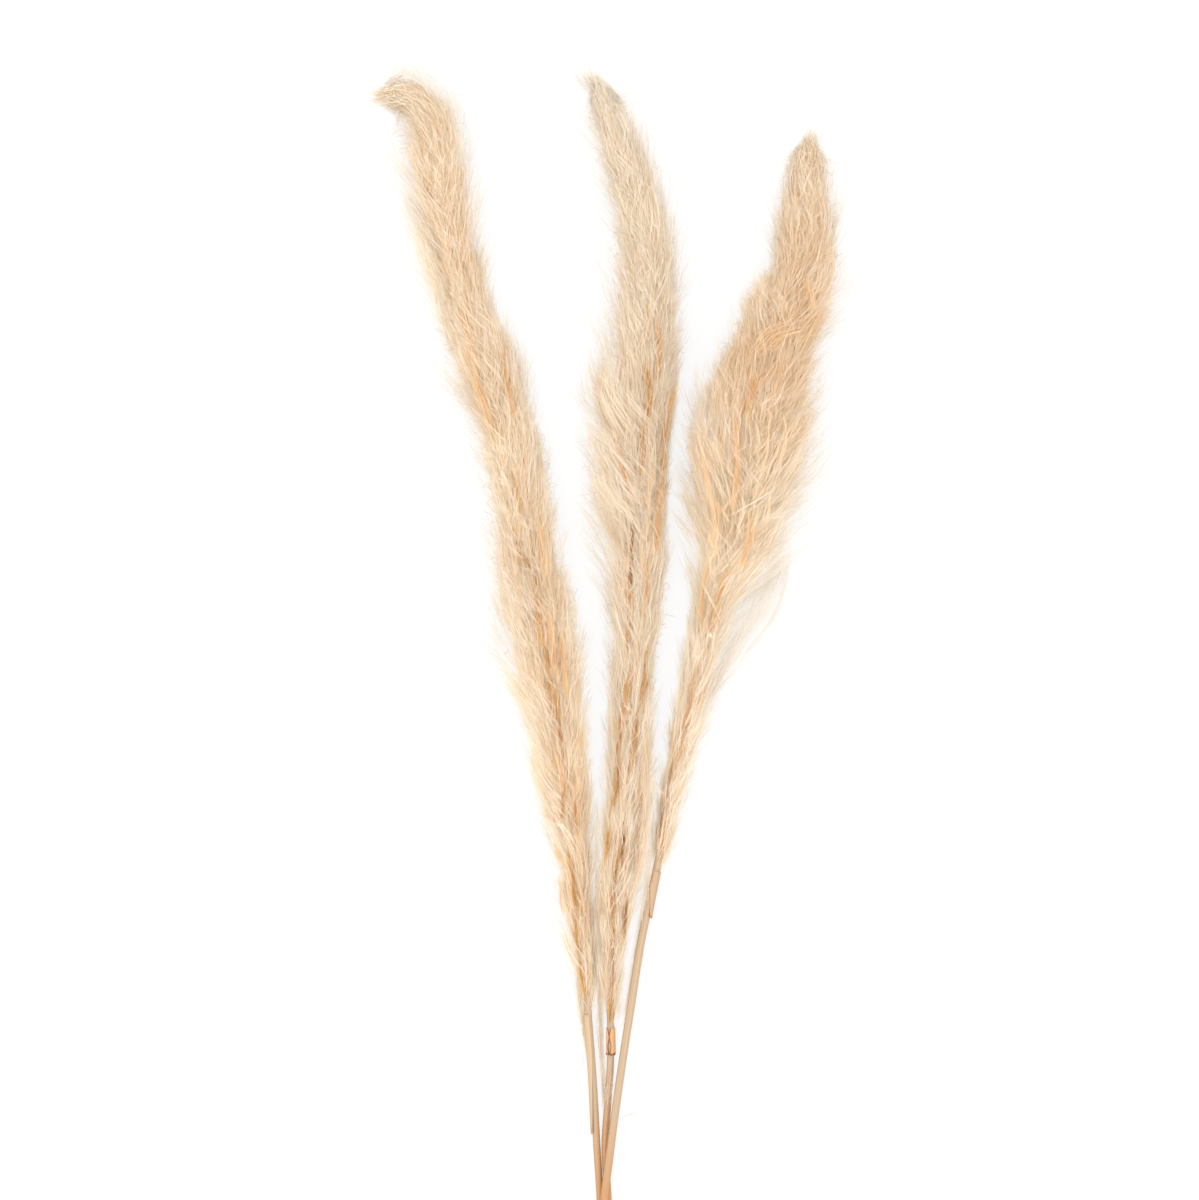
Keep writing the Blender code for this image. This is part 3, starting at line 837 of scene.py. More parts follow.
# Dried reed silk: fine plant hairs, bleached ivory at their ends and straw to amber brown near the
# branch. Their sides are matte and let much light through, so a mass of them glows softly. The map's
# first coordinate is how warm a hair is, and its second how grey.
def silk_material(look):
    name = "dried_reed_silk"
    if name in bpy.data.materials:
        return bpy.data.materials[name]
    tree, output = start_material(name)
    spot = add_node(tree, "ShaderNodeUVMap", {"uv_map": MAP_NAME})
    parts = add_node(tree, "ShaderNodeSeparateXYZ", links={"Vector": spot.outputs["UV"]})
    ramp = add_node(tree, "ShaderNodeValToRGB", links={"Fac": parts.outputs["X"]})
    set_ramp(ramp, SILK_PLACES, (look.ivory, look.cream, look.sand, look.amber, look.brown))
    colour = add_node(
        tree,
        "ShaderNodeMix",
        {"data_type": "RGBA"},
        {MIX_SECOND: (*look.grey, 1.0)},
        {MIX_SHARE: parts.outputs["Y"], MIX_FIRST: ramp.outputs["Color"]},
    )
    surface = add_node(
        tree,
        "ShaderNodeBsdfPrincipled",
        inputs={"Roughness": 0.62, "Specular IOR Level": 0.25},
        links={"Base Color": colour.outputs[MIX_RESULT]},
    )
    through = add_node(tree, "ShaderNodeBsdfTranslucent", links={"Color": colour.outputs[MIX_RESULT]})
    mix = add_node(
        tree,
        "ShaderNodeMixShader",
        inputs={0: SILK_TRANSLUCENCE},
        links={1: surface.outputs[0], 2: through.outputs[0]},
    )
    tree.links.new(mix.outputs[0], output.inputs["Surface"])
    return bpy.data.materials[name]


# Dried reed straw: a smooth stem with fine lengthwise fibres. It has a faint waxy shine, and darker
# and paler lines a millimetre apart run along it. It deepens towards the cut end, and on the middle
# stem the deep colour runs further up as painted shade from the stems that lie over it.
def straw_material(look):
    name = "dried_reed_straw"
    tree, output = start_material(name)
    spot = add_node(tree, "ShaderNodeUVMap", {"uv_map": MAP_NAME})
    stretch = add_node(
        tree,
        "ShaderNodeMapping",
        inputs={"Scale": FIBRE_SCALE},
        links={"Vector": spot.outputs["UV"]},
    )
    fibres = add_node(
        tree,
        "ShaderNodeTexNoise",
        inputs={"Scale": 1.0, "Detail": 4.0, "Roughness": 0.6},
        links={"Vector": stretch.outputs["Vector"]},
    )
    ramp = add_node(tree, "ShaderNodeValToRGB", links={"Fac": fibres.outputs["Fac"]})
    set_ramp(ramp, STRAW_PLACES, (look.straw_shade, look.straw, look.straw_pale))
    parts = add_node(tree, "ShaderNodeSeparateXYZ", links={"Vector": spot.outputs["UV"]})
    # Deeper towards the cut end: the straw's own browner base, and on the middle stem also painted shade
    deeper = add_node(
        tree,
        "ShaderNodeMapRange",
        inputs={"From Min": 0.13, "From Max": 0.05, "To Min": 0.0, "To Max": 0.68},
        links={"Value": parts.outputs["X"]},
    )
    colour = add_node(
        tree,
        "ShaderNodeMix",
        {"data_type": "RGBA"},
        {MIX_SECOND: (*look.straw_deep, 1.0)},
        {MIX_SHARE: deeper.outputs["Result"], MIX_FIRST: ramp.outputs["Color"]},
    )
    surface = add_node(
        tree,
        "ShaderNodeBsdfPrincipled",
        inputs={"Roughness": 0.5, "Specular IOR Level": 0.4},
        links={"Base Color": colour.outputs[MIX_RESULT]},
    )
    bump = add_node(
        tree,
        "ShaderNodeBump",
        inputs={"Strength": 0.35, "Distance": FIBRE_DEPTH * MM},
        links={"Height": fibres.outputs["Fac"]},
    )
    tree.links.new(bump.outputs["Normal"], surface.inputs["Normal"])
    tree.links.new(surface.outputs[0], output.inputs["Surface"])
    return bpy.data.materials[name]


# Dried leaf sheath: matte papery leaf, from pale straw to dark brown at its torn edges. On the middle
# sheath the dark edges are mostly painted shade in the slit between them. The map's first coordinate is
# how brown it is, and its second runs along it.
def sheath_material(look):
    name = "dried_leaf_sheath"
    tree, output = start_material(name)
    spot = add_node(tree, "ShaderNodeUVMap", {"uv_map": MAP_NAME})
    parts = add_node(tree, "ShaderNodeSeparateXYZ", links={"Vector": spot.outputs["UV"]})
    ramp = add_node(tree, "ShaderNodeValToRGB", links={"Fac": parts.outputs["X"]})
    set_ramp(ramp, LEAF_PLACES, (look.straw_pale, look.straw, look.husk_tan, look.husk_brown))
    surface = add_node(
        tree,
        "ShaderNodeBsdfPrincipled",
        inputs={"Roughness": 0.75, "Specular IOR Level": 0.25},
        links={"Base Color": ramp.outputs["Color"]},
    )
    tree.links.new(surface.outputs[0], output.inputs["Surface"])
    return bpy.data.materials[name]


# Matte white paper, lit through from below: the glow keeps the surface pure white round the bunch, and
# the paper's own dark grey throws no warm light back up into the silk.
def paper_material(look):
    name = "matte_white_paper"
    tree, output = start_material(name)
    paper = add_node(
        tree,
        "ShaderNodeBsdfPrincipled",
        inputs={
            "Base Color": PAPER_GREY,
            "Roughness": PAPER_ROUGHNESS,
            "Emission Color": WHITE,
            "Emission Strength": look.floor_glow,
        },
    )
    tree.links.new(paper.outputs[0], output.inputs["Surface"])
    return bpy.data.materials[name]


def strand_shades(which, locks, share, level, draw, extra=0.0):
    """How warm and how grey hair points are. A hair takes the warmth of its place along the stalk, is
    warmer inside the plume and paler on its two edges. Locks, hairs and slow waves differ a little."""
    at, angle, _ = locks.place(which[:, None], share)
    waves = locks.colour_waves(at, angle)
    up = locks.stalk.up(at)
    edge = np.clip((np.abs(level * np.cos(angle)) - FRINGE_START) / FRINGE_WIDTH, 0, 1)
    own = draw.normal(0, WARMTH_OF_HAIR, len(which))[:, None]
    warmth = np.interp(up, *locks.stalk.warmth.T)
    warmth = warmth + locks.warmth[which][:, None] + own + WARMTH_SWING * waves + extra
    warmth = warmth + WARMTH_INSIDE * (MEAN_LEVEL - level)
    warmth = warmth + WARMTH_AT_EDGE * edge
    grey = GREY_SWING + GREY_SWING * locks.grey_waves(at, angle)
    grey = grey + locks.grey_at_tip * up + FRINGE_GREY * edge
    return np.stack([warmth, np.clip(grey, 0, 1)], axis=-1)


def plain_shades(paths, warmth, grey):
    """The same warmth and greyness for all the points of a hair."""
    shape = paths.shape[:2]
    return np.stack([np.broadcast_to(warmth, shape), np.broadcast_to(grey, shape)], axis=-1)


def make_strands(locks, count, length, radius, draw):
    """Long silk strands along the locks. A strand starts beside its lock's path and ends closer to
    it, so that the lock tapers to a point. Its middle keeps to the path's own curve."""
    which = draw.integers(0, locks.count, count)
    start = draw.uniform(*STRAND_STARTS, count) ** START_POWER
    span = length * draw.uniform(*STRAND_LENGTHS, count) / locks.length[which]
    start = start * np.clip(STRAND_ENDS[0] - span, STRAND_ENDS[1], None)
    share = start[:, None] + span[:, None] * STRAND_POINTS
    at, angle, radial = locks.place(which[:, None], share)
    spread = locks.half_width(which[:, None], share)
    beside, above = STRAND_JITTER
    free = np.where(draw.uniform(0, 1, count) < FREE_SHARE, FREE_SPREAD, 1.0)
    sideways = (free * draw.normal(0, 1, count))[:, None] * spread
    sideways = sideways + draw.normal(0, beside, at.shape)
    off, inward, scatter = STRAND_OUTWARD
    outward = off + draw.normal(inward, scatter, count)[:, None] * spread
    outward = outward + draw.normal(0, above, at.shape)
    radial = np.abs(radial + outward)
    angle = angle + sideways / (radial + ROOT_RADIUS)
    held, near = locks.hold(at, radial, draw.normal(0, 1, (count, 1)))
    paths = locks.stalk.hair_points(held, angle, near)
    radii = (radius * draw.uniform(*HAIR_RADII, count))[:, None]
    level = radial / locks.stalk.outer_radius(at, angle)
    return paths, radii, strand_shades(which, locks, share, level, draw)


def make_fuzz(locks, count, length, radius, draw):
    """Short fine hairs that stand off the locks, forwards and outwards, and make the soft edge. They
    lie flatter on top of a plume than at its sides. A share of them grow in tufts. A tuft's hairs
    start close together, lean one way and fan out a little."""
    number = np.arange(count)
    tuft = np.where(number < TUFT_SHARE * count, number // TUFT_HAIRS, number)
    tufted = (tuft != number) | (number == 0)
    fan = np.where(tufted, TUFT_FAN, 0.0)

    def shared(middle, scatter):
        """A chance value that a tuft shares, and that fans out over its hairs."""
        return (draw.normal(middle, scatter, count)[tuft] + fan * draw.normal(0, 1, count))[:, None]

    which = draw.integers(0, locks.count, count)[tuft]
    start = (draw.uniform(*FUZZ_STARTS, count) ** START_POWER)[tuft]
    share = np.repeat(start[:, None], len(SHORT_POINTS), axis=1)
    at, angle, radial = locks.place(which[:, None], share)
    spread = locks.half_width(which[:, None], share)
    narrow = np.clip(locks.stalk.width(at[:, :1]) / FULL_FUZZ_WIDTH, NARROW_FUZZ, 1.0)
    reach = draw.uniform(*FUZZ_LENGTHS, count)
    reach = reach * np.where(tufted, TUFT_LENGTH * draw.uniform(*TUFT_LENGTHS, count)[tuft], 1)
    reach = length * reach[:, None] * narrow
    lean = shared(*FUZZ_LEAN) * (LEAN_ON_TOP + (1 - LEAN_ON_TOP) * np.abs(np.cos(angle)))
    swing = shared(0.0, FUZZ_SWING)
    bend = shared(0.0, FUZZ_BEND) * SHORT_POINTS * (1 - SHORT_POINTS)
    at = at + reach * SHORT_POINTS * np.cos(lean)
    radial = radial - np.abs(draw.normal(0, FUZZ_DEPTH, count))[tuft, None] * spread
    radial = radial + fan[:, None] * draw.normal(0, TUFT_ROOT, count)[:, None]
    radial = radial + reach * (SHORT_POINTS * np.sin(lean) + bend)
    sideways = (FREE_SPREAD * draw.normal(0, 1, count))[tuft, None] * spread
    sideways = sideways + fan[:, None] * draw.normal(0, TUFT_ROOT, count)[:, None]
    sideways = sideways + reach * (SHORT_POINTS * np.sin(swing) + bend)
    angle = angle + sideways / (np.abs(radial) + FUZZ_ROOT_RADIUS)
    radial = np.abs(radial)
    held, near = locks.hold(at, radial, draw.normal(0, 1, (count, 1)))
    paths = locks.stalk.hair_points(held, angle, near)
    radii = (radius * draw.uniform(*HAIR_RADII, count))[:, None]
    level = radial / locks.stalk.outer_radius(at, angle)
    own = WARMTH_OF_FUZZ + WARMTH_OF_TUFT * draw.normal(0, 1, count)[tuft, None]
    return paths, radii, strand_shades(which, locks, share, level, draw, own)


def make_branches(locks, draw):
    """The thin branch inside each lock, from the stalk's line to short of the lock's end."""
    which = np.arange(locks.count)
    share = np.linspace(0.0, BRANCH_END, BRANCH_POINTS)[None].repeat(locks.count, axis=0)
    at, angle, radial = locks.place(which[:, None], share)
    paths = locks.stalk.hair_points(at, angle, radial)
    radii = np.linspace(*BRANCH_RADII, BRANCH_POINTS - 2)[None].repeat(locks.count, axis=0)
    middle, scatter = BRANCH_WARMTH
    warmth = middle + draw.normal(0, scatter, locks.count)[:, None]
    return paths, radii, plain_shades(paths, warmth, 0.0)


def make_husks(locks, count, draw):
    """Narrow brown seed husks that hang along the branches, each a slim spindle."""
    which = draw.integers(0, locks.count, count)
    start = draw.uniform(*HUSK_STARTS, count)[:, None]
    span = (draw.uniform(*HUSK_LENGTHS, count) / locks.length[which])[:, None]
    at, angle, radial = locks.place(which[:, None], start + span * SHORT_POINTS)
    whole, bent = HUSK_SCATTER
    sideways = draw.normal(0, whole, count)[:, None] + draw.normal(0, bent, at.shape)
    radial = np.abs(radial + draw.normal(0, whole, count)[:, None])
    paths = locks.stalk.hair_points(at, angle + sideways / (radial + ROOT_RADIUS), radial)
    radii = draw.uniform(*HUSK_RADII, count)[:, None]
    warmth = draw.uniform(*HUSK_WARMTHS, count)[:, None]
    return paths, radii, plain_shades(paths, warmth, 0.0)


def make_wisp(warmth, grey, count, rows, length, radius, draw):
    """Hairs along a path, which is a smooth curve through its rows. Each hair keeps its own place in
    the path's round section, fans out or draws in with the path, and fewer hairs reach the path's ends."""
    rows = np.array(rows, float)
    steps = np.linalg.norm(np.diff(rows[:, :3], axis=0), axis=1)
    lengths = np.concatenate([[0.0], np.cumsum(steps)])
    span = length * draw.uniform(*WISP_LENGTHS, count)
    middle = draw.beta(WISP_CROWDING, WISP_CROWDING, count) * lengths[-1]
    at = middle[:, None] + span[:, None] * WISP_POINTS
    path = read_curve(lengths, rows, at)
    path[..., 3] = np.interp(at, lengths, rows[:, 3])
    ahead = read_curve(lengths, rows, at + 1.0)[..., :2] - path[..., :2]
    ahead /= np.linalg.norm(ahead, axis=-1)[..., None]
    spread = np.abs(path[..., 3]) * draw.normal(0, WISP_SPREAD[0], (count, 1))
    upward = np.abs(path[..., 3]) * draw.normal(0, WISP_SPREAD[1], (count, 1))
    sideways = spread + WISP_JITTER[0] * span[:, None] * draw.normal(0, 1, at.shape)
    paths = path[..., :3].copy()
    paths[..., 0] += ahead[..., 1] * sideways
    paths[..., 1] -= ahead[..., 0] * sideways
    paths[..., 2] += upward + draw.normal(0, WISP_JITTER[1], at.shape)
    paths[..., 2] = np.maximum(paths[..., 2], FLOOR_CLEARANCE)
    radii = (radius * draw.uniform(*WISP_RADII, count))[:, None]
    own = warmth + draw.normal(0, 2 * WARMTH_OF_HAIR, count)[:, None]
    return paths, radii, plain_shades(paths, own, grey)


def chance_streaks(stalk, count, draw):
    """Short warm streaks at chance places on a plume's upper side, more and stronger towards its base,
    as the same rows that `make_wisp` reads. They are warm branches that show between pale locks, and
    partly painted shade of the crevices between the locks."""
    share = CHANCE_START + CHANCE_STRETCH * draw.beta(*CHANCE_CROWDING, count)
    at = stalk.base + (stalk.tip - stalk.base) * share
    scatter, widest = CHANCE_ASIDE
    turn = np.clip(draw.normal(0, scatter, count), -widest, widest)
    length = draw.uniform(*CHANCE_LENGTHS, count)
    least, most, more_at_base = CHANCE_WARMTHS
    for where, aside, span in zip(at, turn, length):
        spots = where + span * np.linspace(-0.5, 0.5, CHANCE_POINTS)
        shift = aside + draw.normal(0, CHANCE_JITTER, CHANCE_POINTS)
        facing = 0.0 if shift[0] > 0 else math.pi
        reach = stalk.outer_radius(spots, np.full(CHANCE_POINTS, facing))
        up = STREAK_LEVEL * stalk.outer_radius(spots, np.full(CHANCE_POINTS, math.pi / 2))
        points = stalk.centre(spots) + stalk.side(spots) * (shift * reach)[:, None]
        points[:, 2] += up * np.sqrt(1 - shift**2)
        warmth = draw.uniform(least, most + more_at_base * (1 - stalk.up(where)))
        half_width = draw.uniform(*CHANCE_HALF_WIDTHS)
        yield warmth, np.column_stack([points, np.full(CHANCE_POINTS, half_width)])


def make_curls(locks, count, draw):
    """Fine curly hair ends that stand off the outline, each an arc that bends its own way."""
    upper = np.arange(int(CURLS_FROM * locks.count), locks.count)
    aside = np.abs(np.cos(locks.facing[upper])) ** CURL_SIDE_POWER + CURL_ON_TOP
    which = draw.choice(upper, count, p=aside / aside.sum())
    share = draw.uniform(*CURL_STARTS, count)[:, None]
    at, angle, radial = locks.place(which[:, None], share)
    steps = np.arange(CURL_POINTS)
    last = CURL_POINTS - 1
    reach = draw.uniform(*CURL_LENGTHS, count)[:, None]
    heading = draw.normal(*CURL_HEADING, count)[:, None]
    heading = heading + draw.normal(0, CURL_BEND, count)[:, None] * steps / last
    forward = np.cumsum(reach / last * np.cos(heading), axis=1)
    outward = np.cumsum(reach / last * np.sin(heading), axis=1)
    sideways = draw.normal(0, CURL_ASIDE, count)[:, None] * outward
    sideways = sideways + draw.normal(0, 1, count)[:, None] * locks.half_width(which[:, None], share)
    radial = np.abs(radial + outward) + CURL_LIFT
    uneven = CURL_UNEVENNESS * draw.normal(0, 1, (count, 1))
    held, near = locks.hold(at + forward, radial, uneven)
    paths = locks.stalk.hair_points(held, angle + sideways / (radial + ROOT_RADIUS), near)
    radii = np.full((count, 1), CURL_RADIUS)
    return paths, radii, plain_shades(paths, CURL_WARMTH, CURL_GREY)


def make_halo(locks, count, radius, draw):
    """Sparse fine hairs at both sides, which let the edge of a plume thin out softly. They grow in small
    clumps. A clump starts inside the body at HALO_ROOT of the outline, and its end stands past the
    outline by a chance amount with the mean that the stalk's `halo` rows give for its left and right
    side. Some clumps start near the tip at any radius and run on past it like a brush."""
    stalk = locks.stalk
    clumps = count // HALO_CLUMP
    right = draw.uniform(0, 1, clumps) < 0.5
    places, to_left, to_right = stalk.halo.T
    spots = np.linspace(0, 1, HALO_SPOTS)
    means = np.where(right[:, None], np.interp(spots, places, to_right), np.interp(spots, places, to_left))
    chances = np.cumsum(means, axis=1)
    up = (chances < draw.uniform(0, 1, clumps)[:, None] * chances[:, -1:]).mean(axis=1)
    mean = np.where(right, np.interp(up, places, to_right), np.interp(up, places, to_left))
    brush = draw.uniform(0, 1, clumps) < HALO_TIP_SHARE
    up = np.where(brush, 1 - HALO_TIP_STRETCH * draw.uniform(0, 1, clumps), up)
    past = np.minimum(draw.exponential(HALO_PAST[0], clumps), HALO_PAST[1]) * mean
    past = past * np.where(brush, HALO_TIP_PAST, 1.0)
    root = np.where(brush, draw.uniform(0, HALO_ROOT, clumps), HALO_ROOT)
    turn = np.where(brush, HALO_TIP_TURN, HALO_TURN) * draw.normal(0, 1, clumps)
    turn = np.where(right, 0.0, math.pi) + turn
    ahead = draw.uniform(*HALO_AHEAD, clumps) + HALO_LEAN * past
    bend = draw.uniform(*HALO_BENDS, clumps)

    clump = np.arange(clumps).repeat(HALO_CLUMP)
    count = len(clump)
    along = HALO_POINTS
    lengthwise, outwards = HALO_SCATTER
    start = stalk.base + up[clump] * (stalk.tip - stalk.base) + draw.normal(0, lengthwise, count)
    ahead = ahead[clump] * draw.uniform(*HALO_AHEAD_RANGE, count)
    at = start[:, None] + ahead[:, None] * along
    angle = (turn[clump] + draw.normal(0, HALO_FAN[0], count))[:, None]
    angle = angle + draw.normal(0, HALO_FAN[1], count)[:, None] * along
    outline = stalk.outer_radius(at, angle)
    rise = np.where(brush[clump, None], HALO_TIP_RISE, 1.0) * along ** bend[clump, None]
    reach = (past[clump] * draw.uniform(*HALO_REACHES, count))[:, None]
    radial = outline * (root[clump, None] + (1 - root[clump, None]) * rise) + reach * rise
    radial = np.abs(radial + draw.normal(0, outwards, at.shape))
    held, near = locks.hold(at, radial, HALO_UNEVENNESS * draw.normal(0, 1, (count, 1)))
    held = held + HALO_PAST_TIP * (brush[clump] * draw.uniform(0, 1, count))[:, None] * along
    paths = stalk.hair_points(held, angle, near)
    radii = (radius * draw.uniform(*HALO_RADII, count))[:, None]
    warmth = HALO_WARMTH + draw.normal(0, WARMTH_OF_HAIR, (count, 1))
    middle, scatter = HALO_GREY
    grey = np.clip(middle + draw.normal(0, scatter, (count, 1)), 0, 1)
    return paths, radii, plain_shades(paths, warmth, grey)


def lay_on(stalk, path):
    """Photograph pixels as points on the top of a plume, where the nearest part of its line and the
    distance from it give the height of the outline's upper half ellipse."""
    places = (np.array(path, float) - PHOTO_CENTRE) * (PIXEL, -PIXEL)
    at = np.arange(stalk.base, stalk.tip, 1.0)
    line = stalk.centre(at)
    nearest = np.linalg.norm(places[:, None] - line[None, :, :2], axis=2).argmin(axis=1)
    at, line = at[nearest], line[nearest]
    aside = ((places - line[:, :2]) * stalk.side(at)[:, :2]).sum(axis=1)
    reach = stalk.outer_radius(at, np.where(aside > 0, 0.0, math.pi))
    up = stalk.outer_radius(at, np.full_like(at, math.pi / 2))
    height = np.sqrt(np.clip(1 - (aside / reach) ** 2, LEAST_HEIGHT, 1))
    return np.column_stack([places, line[:, 2] + STREAK_LEVEL * up * height])


def tube(name, stalk, places, radii, sides, map_start):
    """A round tube along the stalk's line. Its first ring is closed by a shallow dish, as where a
    stem was cut through its pith, and its last by a point. The map runs along and round it."""
    angles = 2 * math.pi * np.arange(sides) / sides
    at = np.repeat(places[:, None], sides, axis=1)
    points = stalk.point(at, np.broadcast_to(angles, at.shape), radii)
    rings = len(places)
    dish = stalk.centre(places[:1] + DISH_DEPTH)[0]
    ends = np.stack([dish, stalk.centre(places[-1:] + POINT_LENGTH)[0]])
    points = np.concatenate([points.reshape(-1, 3), ends])
    i = np.arange(sides)
    j = (i + 1) % sides
    low = (np.arange(rings - 1) * sides)[:, None]
    quads = np.stack([low + i, low + sides + i, low + sides + j, low + j], axis=-1).reshape(-1, 4)
    cut = np.stack([i, j, np.full(sides, rings * sides)], axis=1)
    top = (rings - 1) * sides
    point = np.stack([top + j, top + i, np.full(sides, rings * sides + 1)], axis=1)
    triangles = np.concatenate([quads[:, [0, 1, 2]], quads[:, [0, 2, 3]], cut, point])
    round_share = np.abs(2 * np.arange(sides) / sides - 1)
    along = map_start + (places - places[0]) / (places[-1] - places[0])
    spots = np.stack([np.repeat(along, sides), np.tile(round_share, rings)], axis=1)
    mesh = fill_mesh(name, points, triangles, np.concatenate([spots, [[0.0, 0.5], [1.0, 0.5]]]))
    mesh.shade_smooth()
    return mesh


def sheath_sheet(name, stalk, shape, draw):
    """A papery sheet wrapped part of the way round the stem, thin, with fine ribs along it, edges
    that wave a little and a torn lower end that stands off. Outer and inner side share a border."""
    side, low, high, facing, spread, narrow, warmth, edge_brown_and_shade = shape
    ends = np.interp([low, high], stalk.line[:, 1], stalk.lengths)
    share = np.linspace(0.0, 1.0, SHEATH_ROWS)[:, None]
    across = np.linspace(-1.0, 1.0, SHEATH_COLUMNS)[None]
    wrap = math.radians(spread) * (narrow + (1 - narrow) * np.sin(share * math.pi / 2))
    height, rate, start, power = SHEATH_WAVE
    wave = height * np.sin(rate * share + start) * np.abs(across) ** power
    angle = math.radians(facing) + wrap * across * (1 + wave)
    torn = SHEATH_TEAR * draw.uniform(-1, 1, SHEATH_COLUMNS)[None] * (1 - share) ** SHEATH_TEAR_POWER
    at = ends[0] + share * (ends[1] - ends[0]) + torn
    ribs = SHEATH_RIB * (np.arange(SHEATH_COLUMNS) % 2)[None]
    radius = stalk.stem_radius + SHEATH_GAP + SHEATH_FLARE[side] * (1 - share) ** 2 + ribs
    outer = stalk.point(at, angle, radius + SHEATH_WALL)
    inner = stalk.point(at, angle, radius)
    places = np.concatenate([outer.reshape(-1, 3), inner.reshape(-1, 3)])
    grid = np.arange(SHEATH_ROWS * SHEATH_COLUMNS).reshape(SHEATH_ROWS, SHEATH_COLUMNS)
    a, b, c, d = grid[:-1, :-1], grid[:-1, 1:], grid[1:, 1:], grid[1:, :-1]
    sheet = np.stack([a, b, c, d], axis=-1).reshape(-1, 4)
    back = sheet[:, ::-1] + grid.size
    rim = np.concatenate([grid[0, :-1], grid[:-1, -1], grid[-1, :0:-1], grid[:0:-1, 0]])
    after = np.roll(rim, -1)
    wall = np.stack([rim, rim + grid.size, after + grid.size, after], axis=-1)
    quads = np.concatenate([sheet, back, wall])[:, ::-1]
    triangles = np.concatenate([quads[:, [0, 1, 2]], quads[:, [0, 2, 3]]])
    rib_warmth = draw.normal(0, SHEATH_RIB_WARMTH, SHEATH_COLUMNS)[None]
    # Darker edges: the leaf's own brown edges, and on the middle sheath painted shade in the slit between
    # them
    edge = edge_brown_and_shade * np.abs(across) ** SHEATH_EDGE_POWER
    edge = edge + SHEATH_END_WARMTH * (1 - share) ** SHEATH_END_POWER
    shade = warmth + rib_warmth + edge
    along = SHEATH_MAP[0] + SHEATH_MAP[1] * share * np.ones_like(shade)
    spots = np.stack([shade, along], axis=-1).reshape(-1, 2)
    return fill_mesh(name, places, triangles, np.concatenate([spots, spots]))


class ReedLook(PropertyGroup):
    """Sizes and colours that a user may change."""

    ivory: FloatVectorProperty(
        name="Ivory",
        description="The palest hair ends",
        subtype="COLOR",
        default=linear("#FBF5EB"),
    )
    cream: FloatVectorProperty(
        name="Cream", description="Most of the silk", subtype="COLOR", default=linear("#F6EDDD")
    )
    sand: FloatVectorProperty(
        name="Sand",
        description="Warm silk inside the plumes",
        subtype="COLOR",
        default=linear("#F2E0C5"),
    )
    amber: FloatVectorProperty(
        name="Amber",
        description="Branches and the silk's roots",
        subtype="COLOR",
        default=linear("#E6C486"),
    )
    brown: FloatVectorProperty(
        name="Brown", description="Seed husks", subtype="COLOR", default=linear("#BA884C")
    )
    grey: FloatVectorProperty(
        name="Dusty beige",
        description="The greyer parts of the silk",
        subtype="COLOR",
        default=linear("#CFC6BD"),
    )
    straw: FloatVectorProperty(
        name="Straw", description="The stems", subtype="COLOR", default=linear("#A38A6E")
    )
    straw_shade: FloatVectorProperty(
        name="Straw shade",
        description="The stems' darker fibres",
        subtype="COLOR",
        default=linear("#91765C"),
    )
    straw_pale: FloatVectorProperty(
        name="Pale straw",
        description="The stems' paler fibres",
        subtype="COLOR",
        default=linear("#B0987B"),
    )
    # Deep straw is also painted shade on the middle stem's lower part
    straw_deep: FloatVectorProperty(
        name="Deep straw",
        description="The stems near their cut ends",
        subtype="COLOR",
        default=linear("#A8713A"),
    )
    husk_tan: FloatVectorProperty(
        name="Tan", description="The brown sheath", subtype="COLOR", default=linear("#C8976C")
    )
    # Dark tan also paints the shade in the middle sheath's slit
    husk_brown: FloatVectorProperty(
        name="Dark tan",
        description="The sheaths' edges",
        subtype="COLOR",
        default=linear("#6E4426"),
    )
    lock_count: IntProperty(
        name="Locks", description="Branches in each plume", default=320, min=20, max=600
    )
    strand_count: IntProperty(
        name="Strands", description="Long hairs in each plume", default=38500, min=100, max=49000
    )
    strand_length: FloatProperty(
        name="Strand length",
        description="Length of the long hairs, in millimetres",
        default=46.0,
        min=10.0,
        max=90.0,
    )
    strand_radius: FloatProperty(
        name="Strand radius",
        description="Half the width of a long hair, in millimetres",
        default=0.25,
        min=0.05,
        max=1.0,
    )
    fuzz_count: IntProperty(
        name="Fine hairs",
        description="Short hairs in each plume",
        default=50000,
        min=100,
        max=99000,
    )
    fuzz_length: FloatProperty(
        name="Fine hair length",
        description="Length of the short hairs, in millimetres",
        default=17.0,
        min=4.0,
        max=40.0,
    )
    fuzz_radius: FloatProperty(
        name="Fine hair radius",
        description="Half the width of a short hair, in millimetres",
        default=0.18,
        min=0.03,
        max=0.5,
    )
    husk_count: IntProperty(
        name="Husks", description="Seed husks in each plume", default=500, min=0, max=5000
    )
    curl_count: IntProperty(
        name="Curls", description="Curly hair ends on each plume", default=1200, min=0, max=8000
    )
    halo_count: IntProperty(
        name="Halo hairs",
        description="Sparse hairs at the sides of each plume",
        default=3500,
        min=0,
        max=20000,
    )
    halo_radius: FloatProperty(
        name="Halo radius",
        description="Half the width of a halo hair, in millimetres",
        default=0.23,
        min=0.05,
        max=1.0,
    )
    streak_count: IntProperty(
        name="Streaks", description="Chance streaks in each plume", default=40, min=0, max=400
    )
    camera_height: FloatProperty(
        name="Camera height",
        description="How far above the surface the camera hangs",
        subtype="DISTANCE",
        unit="LENGTH",
        default=6.0,
        min=1.0,
        max=30.0,
    )
    dome_strength: FloatProperty(
        name="Dome light", description="Light from all round", default=1.78, min=0.0, max=5.0
    )
    floor_glow: FloatProperty(
        name="Floor glow",
        description="Light that the paper lets through from below",
        default=0.8,
        min=0.0,
        max=1.0,
    )
    key_power: FloatProperty(
        name="Overhead light",
        description="Power of the soft light above",
        subtype="POWER",
        default=30.0,
        min=0.0,
        max=1000.0,
    )


